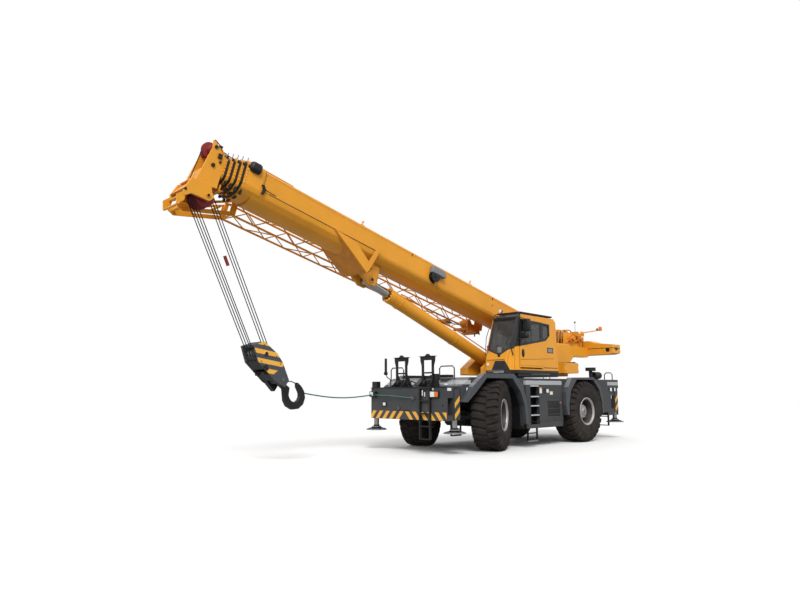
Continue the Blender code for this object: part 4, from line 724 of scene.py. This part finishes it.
make("cab_far_glass", UPPER, dark_glass, [
    prism([(1.04, 3.57), (-0.53, 3.54), (-0.55, 2.83), (1.27, 2.74)], 0.642, 0.648),
    box(-0.735, -0.729, 0.74, 1.38, 2.93, 3.52),
])
make("door_glass", "cab_door", glass, [
    prism([(1.03, 3.54), (0.14, 3.52), (0.14, 3.01), (1.09, 2.89)], 1.518, 1.524),
])
make("door_trim", "cab_door", black, [
    put(Matrix.Translation((1.03, 1.54, 2.625)) @ Matrix.Diagonal((0.85, 1, 1.45, 1)),
        lathe([(-0.004, 0), (-0.004, 0.085), (0.006, 0.06), (0.006, 0)], 28)),
    prism([(1.155, 2.441), (1.155, 2.451), (0.035, 2.497), (0.035, 2.487)], 1.5362, 1.5375),
    box(0.04, 1.15, 1.5362, 1.5375, 2.275, 2.281), box(0.585, 0.6, 1.52, 1.53, 2.94, 3.53),
])
make("cab_trim", UPPER, black, [
    prism([(0.02, 2.488), (0.02, 2.498), (-0.62, 2.524), (-0.62, 2.514)], 1.5002, 1.501),
    box(-0.75, 0.02, 1.5002, 1.5012, 2.228, 2.248), box(-0.55, -0.23, 1.5002, 1.501, 2.675, 2.84),
    box(1.557, 1.5685, 0.66, 1.28, 2.436, 2.446), box(-0.8, 1.2, 1.25, 1.47, 1.975, 2.058),
    box(1, 1.5, 0.66, 1.3, 2.02, 2.058),
    tube([(1.405, 1.415, 2.78), (1.44, 1.44, 2.73), (1.42, 1.45, 2.64), (1.39, 1.452, 2.56)], 0.014),
    lathe([(-0.02, 0), (-0.02, 0.045), (0.01, 0.045), (0.01, 0.03), (0, 0)], 20, "x",
          at=(1.535, 1.07, 2.555)),
    tube([(1.545, 1.07, 2.58), (1.47, 0.95, 2.8), (1.395, 0.9, 3.06)], 0.006, 6),
    tube([(1.34, 0.665, 3.42), (1.42, 0.64, 3.33), (1.5, 0.607, 3.09), (1.51, 0.58, 2.78), (1.5, 0.59, 2.56)],
         0.01, 6),
], bevel=0.003)
make("cab_badge", UPPER, plate_grey, [box(-0.51, -0.27, 1.501, 1.5016, 2.7, 2.815)])
make("cab_white_trim", UPPER, light, [
    box(1.5, 1.572, 0.89, 1.25, 2.085, 2.105), box(-0.35, 0.55, 1.47, 1.474, 2.045, 2.058),
])
guard = [bent([(1.03, 0.66, 3.8), (1.03, 1.46, 3.8), (-0.62, 1.46, 3.775), (-0.62, 0.66, 3.775),
               (1.03, 0.66, 3.8)], 0.02, 8, 0.06)]
guard += [tube([(x, 0.66, 3.8 - 0.015 * (1.03 - x)), (x, 1.46, 3.8 - 0.015 * (1.03 - x))], 0.01, 6)
          for x in [-0.5 + 0.115 * i for i in range(13)]]
guard += [tube([(1.03, y, 3.8), (-0.62, y, 3.775)], 0.01, 6) for y in (0.86, 1.06, 1.26)]
guard += [tube([(x, y, 3.7), (x, y, 3.79)], 0.014, 6) for x in (0.95, 0.2, -0.55) for y in (0.7, 1.42)]
guard += [bent([(1.03, y, 3.8), (x0, y, 3.76), (x1, y, 3.64)], 0.014, 6)
          for y, x0, x1 in ((0.66, 1.15, 1.22), (1.46, 1.13, 1.185))]
guard.append(box(1.195, 1.225, 0.66, 1.44, 3.6, 3.66))
make("roof_guard", UPPER, black, guard)
make("cab_mirrors", UPPER, black, [
    box(0.91, 1.04, 1.53, 1.75, 3.235, 3.6), box(0.95, 1.08, 1.51, 1.72, 3.045, 3.2),
], bevel=0.04)
make("mirror_arms", UPPER, black, [
    bent([(1.16, 1.49, 3.62), (1.14, 1.6, 3.62), (1.05, 1.66, 3.58), (1.03, 1.655, 3.1)], 0.013),
    bent([(1.235, 1.485, 3.02), (1.18, 1.6, 3.02), (1.04, 1.65, 3.06)], 0.013),
])
make("mirror_faces", UPPER, chrome, [
    box(0.906, 0.909, 1.57, 1.71, 3.28, 3.56), box(0.946, 0.949, 1.55, 1.68, 3.08, 3.17),
])
make("cab_lamps", UPPER, clear, [
    lathe([(-0.01, 0), (0.01, 0.055), (0.02, 0.05), (0.022, 0)], 20, "x", at=(1.13, 0.85, 3.87)),
    box(1.5, 1.52, 0.635, 0.685, 2.47, 2.56), disc((0.7, 2.32), 0.04, 1.565, 1.58, "x", 16),
], bevel=0.003)
make("lamp_bodies", UPPER, black, [
    lathe([(-0.05, 0), (-0.05, 0.03), (0.03, 0.062), (0.035, 0.062), (0.03, 0)], 20, "x",
          at=(1.1, 0.85, 3.87)),
    tube([(1.08, 0.85, 3.79), (1.08, 0.85, 3.84)], 0.012, 6), box(1.475, 1.5, 0.63, 0.69, 2.44, 2.86),
])
make("signal_red", UPPER, crimson, [box(1.5, 1.52, 0.635, 0.685, 2.75, 2.85)], bevel=0.003)
make("signal_green", UPPER, green, [box(1.5, 1.52, 0.635, 0.685, 2.6, 2.7)], bevel=0.003)
ring = [(0.9 + 0.085 * sin(a), 1.05 + 0.17 * cos(a), 2.92 + 0.145 * sin(a)) for a in angles(24)]
make("cab_inside", UPPER, trim, [
    tube(ring, 0.014, closed=True), tube([(0.9, 1.05, 2.92), (1.15, 1.05, 2.6)], 0.03, 10),
    tube([(0.9, 0.89, 2.92), (0.9, 1.21, 2.92)], 0.012, 6), box(1.1, 1.4, 0.74, 1.38, 2.12, 2.62),
    box(1.16, 1.24, 0.74, 0.98, 2.62, 2.86), box(-0.28, 0.42, 0.68, 0.84, 2.12, 2.72),
    box(-0.28, 0.42, 1.31, 1.43, 2.12, 2.72), box(-0.74, 1.45, 0.675, 1.445, 2.111, 2.118),
] + [tube([(0.34, y, 2.72), (0.36, y, 2.92)], 0.018) for y in (0.76, 1.37)], bevel=0.01)
make("seat_cushions", UPPER, seat, [
    box(-0.34, -0.22, 0.92, 1.23, 3.25, 3.44), box(-0.2, 0.27, 0.9, 1.25, 2.62, 2.69),
    box(-0.22, -0.14, 0.92, 1.23, 2.66, 3.2),
], bevel=0.03)
make("cab_papers", UPPER, light, [
    box(1.245, 1.25, 0.78, 0.94, 2.66, 2.82), box(-0.7, -0.69, 0.86, 1.2, 2.6, 2.86),
])

# Boom: seams, gussets, bolts, pegs, reel, collar pads, head fittings, sheaves and ropes.
make("boom_seams", "boom", black, mirrored([
    prism([(0.1, -0.178), (7.7, -0.15), (7.7, -0.144), (0.1, -0.17)], 0.4195, 0.4215),
    prism([(7.8, -0.06), (11, -0.056), (11, -0.042), (7.8, -0.042)], 0.4215, 0.4405),
    prism([(7.8, -0.042), (7.8, -0.058), (7.77, -0.075), (7.765, -0.16), (7.748, -0.16), (7.752, -0.066)],
          0.4, 0.4405),
    disc((7.568, -0.7104), 0.045, 0.226, 0.238),
]), BOOM)
make("boom_gussets", "boom", yellow, mirrored([prism([
    (9.13, -0.05), (7.96, -0.71), (7.89, -0.62), (7.67, -0.02), (7.81, -0.05), (7.96, -0.41), (8.46, -0.09),
], 0.44, 0.462)]), BOOM, bevel=0.004)
make("boom_front_plate", "boom", ochre, [
    prism([(9.13, -0.05), (7.96, -0.71), (7.99, -0.7), (9.18, -0.05)], -0.44, 0.44),
], BOOM)
make("boom_bolts", "boom", black, [bolt(s, y, up, "y", 0.016) for s, y, up in (
    (3.08, 0.421, 0.37), (3.08, 0.421, 0.325), (6.56, 0.421, 0.37), (6.56, 0.421, 0.325),
    (3.05, 0.421, 0.157), (2.05, -0.421, 0.33), (2.05, -0.421, 0.22), (6.6, -0.421, 0.33),
    (6.6, -0.421, 0.22))], BOOM)
pegs = [tube([(10.4, 0.3, 0.49), (11.28, 0.3, 0.5)], 0.013),
        tube([(-0.2, 0.18, 0.475), (11.2, 0.18, 0.475)], 0.012)]
for s in (8.277, 4.045):
    pegs += [tube([(s, 0.3, 0.44), (s, 0.3, 0.565), (s - 0.03, 0.3, 0.58)], 0.022),
             box(s - 0.06, s + 0.06, 0.24, 0.36, 0.449, 0.462)]
make("boom_pegs", "boom", yellow, pegs, BOOM)
make("cable_reel_box", "boom", plate_grey, [
    prism([(5.84, 0.32), (5.42, 0.32), (5.3, 0.24), (5.3, 0.13), (5.84, 0.13)], 0.421, 0.565),
], BOOM, bevel=0.02)
REEL_LINE = ((0.42, 0), (0.42, 0.15), (0.46, 0.15), (0.46, 0.11), (0.52, 0.11), (0.52, 0.15), (0.555, 0.15),
             (0.555, 0.04), (0.57, 0.04), (0.57, 0))
make("cable_reel", "boom", black, [
    lathe(REEL_LINE, 28, at=(5.68, 0, 0.05)), box(5.6, 5.66, 0.421, 0.45, -0.12, 0.05),
], BOOM)
make("boom_box", "boom", black, [box(11.33, 11.61, 0.3, 0.545, 0.24, 0.475)], BOOM, bevel=0.07)
make("boom_brackets", "boom", black, [
    prism([(11.19, 0.09), (11.24, 0.07), (11.17, 0), (11.2, -0.12), (11.145, -0.13), (11.11, 0)],
          0.4455, 0.475),
    tube([(11.13, 0.46, -0.002), (10.85, 0.458, -0.02)], 0.01, 6),
], BOOM)
for index, start in enumerate([11.55] + COLLAR_S):
    body = "boom" if index == 0 else f"boom_section_{index + 1}"
    grow = 0.025 if index == 0 else 0.03 - 0.034 * index
    half, top, low = 0.42 + grow, 0.45 + grow, -0.32 - grow
    s0, s1 = start + 0.048, start + 0.094
    mid = start + 0.074
    pads = mirrored([box(s0, s1, half - 0.002, half + 0.012, 0.3, 0.36)])
    pads += [box(s0, s1, y - 0.06, y + 0.06, low - 0.02, low + 0.03) for y in (-0.13, 0.13)]
    pads += mirrored([box(s0, s1, half * 0.72, half * 0.72 + 0.05, -0.3 - grow, -0.18)])
    pads += [tube([(mid, y, top - 0.01), (mid, y, top + 0.1)], 0.008, 6) for y in (0.3, -0.3)]
    make(f"wear_blocks_{index + 1}", body, black, pads, BOOM)
    heads = mirrored([bolt(mid, half + 0.003, -0.07 + 0.075 * i, "y", 0.012, 0.008) for i in range(5)])
    heads += [box(mid - 0.024, mid + 0.02, y - 0.05, y + 0.05, top, top + 0.03)
              for y in (-0.22, 0, 0.22)]
    make(f"collar_bolts_{index + 1}", body, ochre, heads, BOOM)
head = "boom_section_5"
make("head_fittings", head, black, mirrored([
    disc((12.37, 0.43), 0.04, 0.3, 0.322), disc((12.26, -0.66), 0.028, 0.355, 0.372),
    box(12.2, 12.28, 0.3, 0.345, 0.22, 0.32), disc((12.33, 0.02), 0.042, 0.3, 0.33, count=16),
    disc((12.2, 0.15), 0.026, 0.3, 0.325, count=16), box(12.24, 12.32, 0.3, 0.33, 0.46, 0.5),
]) + [tube([(12.3, 0.26, 0.53), (12.42, 0.26, 0.59)], 0.012, 6), box(12.08, 12.2, 0.05, 0.25, 0.31, 0.4),
      disc((12.74, -0.74), 0.03, 0.28, 0.352, count=16)], BOOM)
make("head_plates", head, yellow, mirrored([
    prism([(12.38, 0.55), (12.46, 0.57), (12.44, 0.4), (12.4, 0.4)], 0.262, 0.278),
    tube([(12.13, 0.27, 0.36), (12.3, 0.27, 0.52)], 0.018),
]) + [
    prism([(12.53, -0.44), (12.6, -0.44), (12.78, -0.74), (12.73, -0.74)], -0.28, 0.28),
    prism([(12.44, -0.42), (12.66, -0.42), (12.66, -0.445), (12.44, -0.445)], -0.28, 0.28),
    tube([(12.78, -0.34, -1.08), (12.78, 0.34, -1.08)], 0.022, 10),
    tube([(12.74, -0.32, -0.86), (12.74, 0.32, -0.86)], 0.03, 10),
    box(12.02, 12.05, -0.26, 0.26, -0.4, -0.28), box(11.98, 12.06, -0.27, 0.27, -0.43, -0.41),
], BOOM, bevel=0.003)
SHEAVE_PITCH = 0.105


def sheaves(name, body, mat, count, hub, centre, at, radius=0.21, groove=0.185):
    line = [(-hub, 0.052), (-hub, 0.09)]
    half = [(0.044, 0.09), (0.03, 0.15), (0.034, radius - 0.008), (0.03, radius), (0.012, groove + 0.004)]
    for i in range(count):
        y = (i - (count - 1) / 2) * SHEAVE_PITCH
        line += [(y - d, r) for d, r in half] + [(y, groove)] + [(y + d, r) for d, r in reversed(half)]
    line += [(hub, 0.09), (hub, 0.052)]
    shape = lathe(line, 56, at=(centre[0], 0, centre[1]))
    make(name + "_visual", body, mat, [shape], at, replaces=[name])


sheaves("head_sheaves_lower", head, red, 4, 0.2797, (12.26, -0.66), BOOM)
sheaves("head_sheave_top", head, red, 1, 0.2597, (12.37, 0.43), BOOM, 0.184, 0.158)
sheaves("block_sheaves", HOOK, steel, 3, 0.2397, (0, 0), BLOCK)
over = [(11.72, 0, 0.505), (12.1, 0, 0.57), (12.3, 0, 0.598)]
over += [(12.37 + 0.17 * cos(radians(a)), 0, 0.43 + 0.17 * sin(radians(a))) for a in range(90, -20, -12)]
over += [(12.56, 0, 0), (12.6, 0, -0.4), (12.58, 0, -0.72)]
make("top_rope", head, rope, [tube(over, 0.011)], BOOM)
make("boom_top_rope", "boom", rope, [
    tube([(-0.3, y, 0.478), (5, y, 0.476), (11.66, y, 0.505)], 0.011) for y in (0, -0.1)], BOOM)
make("boom_rope_guides", "boom", yellow, [
    tube([(-0.34, -0.25, 0.46), (-0.34, 0.25, 0.46)], 0.05, 16),
] + [box(s, s + 0.05, -0.16, 0.06, 0.449, 0.464) for s in (0.1, 4, 8, 11)], BOOM)
make("winch_lead_ropes", UPPER, rope, [
    tube([(x, y, 3.565), (-2.95, y, 3.6), (-2.46, y, 3.58), (-2.24, y, 3.6)], 0.011)
    for x, y in ((-3.2, 0), (-3.72, -0.1))])

# Lattice extension: four chords with slanted braces on each face, tip and heel plates.
Y0, Y1, N0, N1 = -1, -0.5, -0.48, -0.02
r = 0.026
corners = ((Y0 + r, N0 + r), (Y1 - r, N0 + r), (Y1 - r, N1 - r), (Y0 + r, N1 - r))
lattice = [tube([(2.6, y, up), (11.3, y, up)], r, 10) for y, up in corners]
BAYS, BRACED_FROM, BRACED = 15, 2.64, 8.62
for face in range(4):
    a, b = corners[face], corners[(face + 1) % 4]
    for i in range(BAYS):
        s0 = BRACED_FROM + BRACED * i / BAYS
        s1 = s0 + BRACED / BAYS
        p, q = (a, b) if i % 2 == 0 else (b, a)
        lattice.append(tube([(s0, *p), (s1, *q)], 0.014, 6))
    for s in (2.62, 6.95, 11.28):
        lattice.append(tube([(s, *a), (s, *b)], 0.02, 6))
tip = [(11.2, -0.05), (11.2, -0.45), (12.35, -0.86), (12.5, -0.8), (12.5, -0.7)]
hole = [(11.34, -0.17), (11.34, -0.4), (11.95, -0.62), (12, -0.52)]
heel = [(2.28, -0.16), (2.28, -0.34), (2.66, -0.46), (2.66, -0.04)]
for ya, yb in ((-0.996, -0.966), (-0.534, -0.504)):
    lattice += [prism(tip, ya, yb, holes=[hole]), prism(heel, ya, yb)]
lattice += [disc((s, up), pin_r, -0.99, -0.51) for s, up, pin_r in
            ((12.4, -0.77, 0.04), (2.36, -0.25, 0.05), (11.6, -0.4, 0.028), (12, -0.6, 0.028))]
lattice += [box(4.1, 4.3, -0.515, -0.42, -0.062, -0.03), box(9.5, 9.7, -0.515, -0.4403, -0.062, -0.03)]
make("jib_lattice", "boom", yellow, lattice, BOOM, replaces=["lattice_jib"])
make("jib_clamps", "boom", ochre, [
    box(2.5, 2.62, -1, -0.42, -0.52, -0.46), box(2.95, 3.05, -1, -0.42, -0.53, -0.47),
    box(2.5, 3.05, -0.5, -0.44, -0.46, -0.3), box(3.8, 3.9, -0.98, -0.46, -0.52, -0.47),
    disc((2.44, -0.4), 0.06, -0.96, -0.56), disc((2.8, -0.25), 0.11, -0.9, -0.6),
], BOOM)
make("jib_pins", "boom", black, [
    tube([(s0, y, n0), (s1, y, n1)], 0.018) for s0, s1, y, n0, n1 in (
        (2.3, 2.26, -0.6, -0.34, -0.46), (2.4, 2.38, -0.72, -0.36, -0.48), (2.55, 2.52, -0.55, -0.5, -0.6),
        (2.95, 2.93, -0.6, -0.52, -0.6))] + [box(3.5, 3.75, -0.96, -0.66, -0.47, -0.44)], BOOM)

# Lift cylinder: bands, pipes, the gland's bolts and the trim of the rod's eye.
make("barrel_bands", "lift_barrel", yellow, [
    lathe([(0, 0.19), (0, 0.201), (w, 0.201), (w, 0.19)], 32, "x", at=(s, 0, 0))
    for s, w in ((0.17, 0.06), (2.6, 0.03), (4.9, 0.04))], CYL)
make("barrel_pipes", "lift_barrel", ochre, [
    bent([(0.4, 0.12, 0.145), (0.4, 0.14, 0.21), (0.6, 0.14, 0.21), (4.7, 0.14, 0.21), (5, 0.12, 0.18)],
         0.016),
    bent([(0.5, -0.12, 0.145), (0.5, -0.14, 0.21), (2.2, -0.14, 0.21), (2.5, -0.12, 0.15)], 0.016),
    box(0.3, 0.62, -0.1, 0.16, 0.16, 0.26),
], CYL)
make("gland_bolts", "lift_barrel", black, [
    bolt(5.341, 0.155 * cos(a), 0.155 * sin(a), "x", 0.014, 0.01) for a in angles(12)] + [
    lathe([(0, 0.107), (0, 0.125), (0.02, 0.118), (0.02, 0.107)], 32, "x", at=(5.34, 0, 0))], CYL)
make("rod_eye_trim", "lift_rod", black, mirrored([disc((6.131, 0), 0.07, 0.1202, 0.128)]), CYL)

# Hook block: guards, bolts, latch, and the red weight on the falls.
make("block_guards", HOOK, black, [
    prism([(0.02, -0.235), (0.24, -0.225), (0.24, -0.205), (0.02, -0.215)], -0.2385, 0.2385),
    prism([(0.34, -0.2), (0.6, -0.165), (0.6, -0.06), (0.34, -0.09)], -0.2385, 0.2385),
    prism([(0.46, -0.16), (0.86, -0.1), (0.84, 0.08), (0.46, 0.19)], 0.13, 0.2385),
    prism([(0.46, -0.16), (0.93, -0.12), (0.88, 0.06), (0.46, 0.19)], -0.2795, -0.13),
    box(0.46, 0.5, -0.24, 0.24, -0.15, 0.19), box(-0.27, -0.23, -0.24, 0.24, -0.1, 0.08),
    prism([(0.2, 0.225), (0.2, 0.205), (0.44, 0.19), (0.44, 0.21)], -0.2385, 0.2385),
    prism([(0.15, -0.235), (0.2, -0.12), (0.3, -0.15), (0.29, -0.225)], 0.281, 0.292),
    box(0.36, 0.4, 0.1, 0.24, -0.24, -0.19), box(0.36, 0.4, -0.24, -0.1, -0.24, -0.19),
], BLOCK, bevel=0.004)
make("block_bolts", HOOK, steel, mirrored(
    [bolt(u, 0.283, v) for u, v in (
        (-0.22, -0.06), (-0.18, 0.08), (0.2, 0.17), (0.38, 0.16), (0.5, -0.1), (0.05, -0.19), (0.62, 0.12))]
    + [disc((0.702, 0), 0.034, 0.27, 0.286, count=24)]), BLOCK)
make("block_axles", HOOK, black, mirrored([disc((0, 0), 0.04, 0.3, 0.306, count=24)]), BLOCK)
make("hook_latch", HOOK, steel, [
    tube([(7.88, 0, 1.8), (7.74, 0, 1.8), (7.6, 0, 1.745)], 0.013, 6), disc((7.9, 1.8), 0.035, -0.06, 0.06),
])
make("rope_weight", HOOK, red, [tube([(9.545, 0.1, 4.4), (9.455, 0.1, 4.2)], 0.035, 12)])

# Floor, lights, camera. The floor fades to the white behind it from 9 to 26 m off the middle.
ground = Paint("floor", (0.86, 0.86, 0.86), 0.9, vary=0)
seen_directly = ground.new("LightPath").outputs["Is Camera Ray"]
ground.colour = (0.34, 0.34, 0.34)
ground.over(seen_directly, (0.86, 0.86, 0.86))
lit = ground.new("Emission", Strength=1)
blend = ground.new("MixShader")
far = ground.work_out("VectorMath", "LENGTH", ground.place, (0, 0, 0))
ground.link(ground.ramp(far, 9, 26, 0, 1), blend.inputs["Fac"])
ground.link(ground.ramp(seen_directly, 0, 1, 0.3, 1), lit.inputs["Strength"])
ground.link(ground.bsdf.outputs[0], blend.inputs[1])
ground.link(lit.outputs[0], blend.inputs[2])
out = next(node for node in ground.tree.nodes if node.type == "OUTPUT_MATERIAL")
ground.link(blend.outputs[0], out.inputs["Surface"])
data = bpy.data.meshes.new("floor")
corners = [(x, y, -0.002) for x, y in ((-120, -120), (120, -120), (120, 120), (-120, 120))]
data.from_pydata(corners, [], [(0, 1, 2, 3)])
data.materials.append(ground.mat)
floor = add("floor", data)

# A white room: full white where it is seen, mirrored or looked through, dimmer as a light.
world = bpy.data.worlds.new("studio")
scene.world = world
world.use_nodes = True
room = Tree(world.node_tree)
back = room.tree.nodes["Background"]
back.inputs["Color"].default_value = (1, 1, 1, 1)
rays = room.new("LightPath").outputs
bent_ray = room.math("MAXIMUM", rays["Is Glossy Ray"], rays["Is Transmission Ray"])
seen = room.math("MAXIMUM", rays["Is Camera Ray"], bent_ray)
room.link(room.ramp(seen, 0, 1, 0.74, 1), back.inputs["Strength"])


def sun(name, strength, angle, toward):
    lamp = bpy.data.lights.new(name, "SUN")
    lamp.energy = strength
    lamp.angle = radians(angle)
    add(name, lamp).rotation_euler = Vector(toward).to_track_quat("-Z", "Y").to_euler()


sun("key_light", 2.35, 25, (-0.62, -0.72, -0.92))
sun("fill_light", 0.5, 60, (-1, 0.25, -0.35))

# The camera's place, angles and lens come from a fit to points marked in the photo.
yaw, pitch, roll = radians(226.246), radians(8.151), radians(0.174)
camera = add("camera", bpy.data.cameras.new("camera"))
camera.data.sensor_width = 36
camera.data.lens = 28.47
camera.data.clip_end = 500
ahead = Vector((cos(yaw) * cos(pitch), sin(yaw) * cos(pitch), sin(pitch)))
camera.rotation_mode = "QUATERNION"
camera.rotation_quaternion = ahead.to_track_quat("-Z", "Y") @ Matrix.Rotation(-roll, 3, "Z").to_quaternion()
camera.location = (12.883, 12.037, 1.59)
scene.camera = camera
scene.view_settings.view_transform = "Standard"
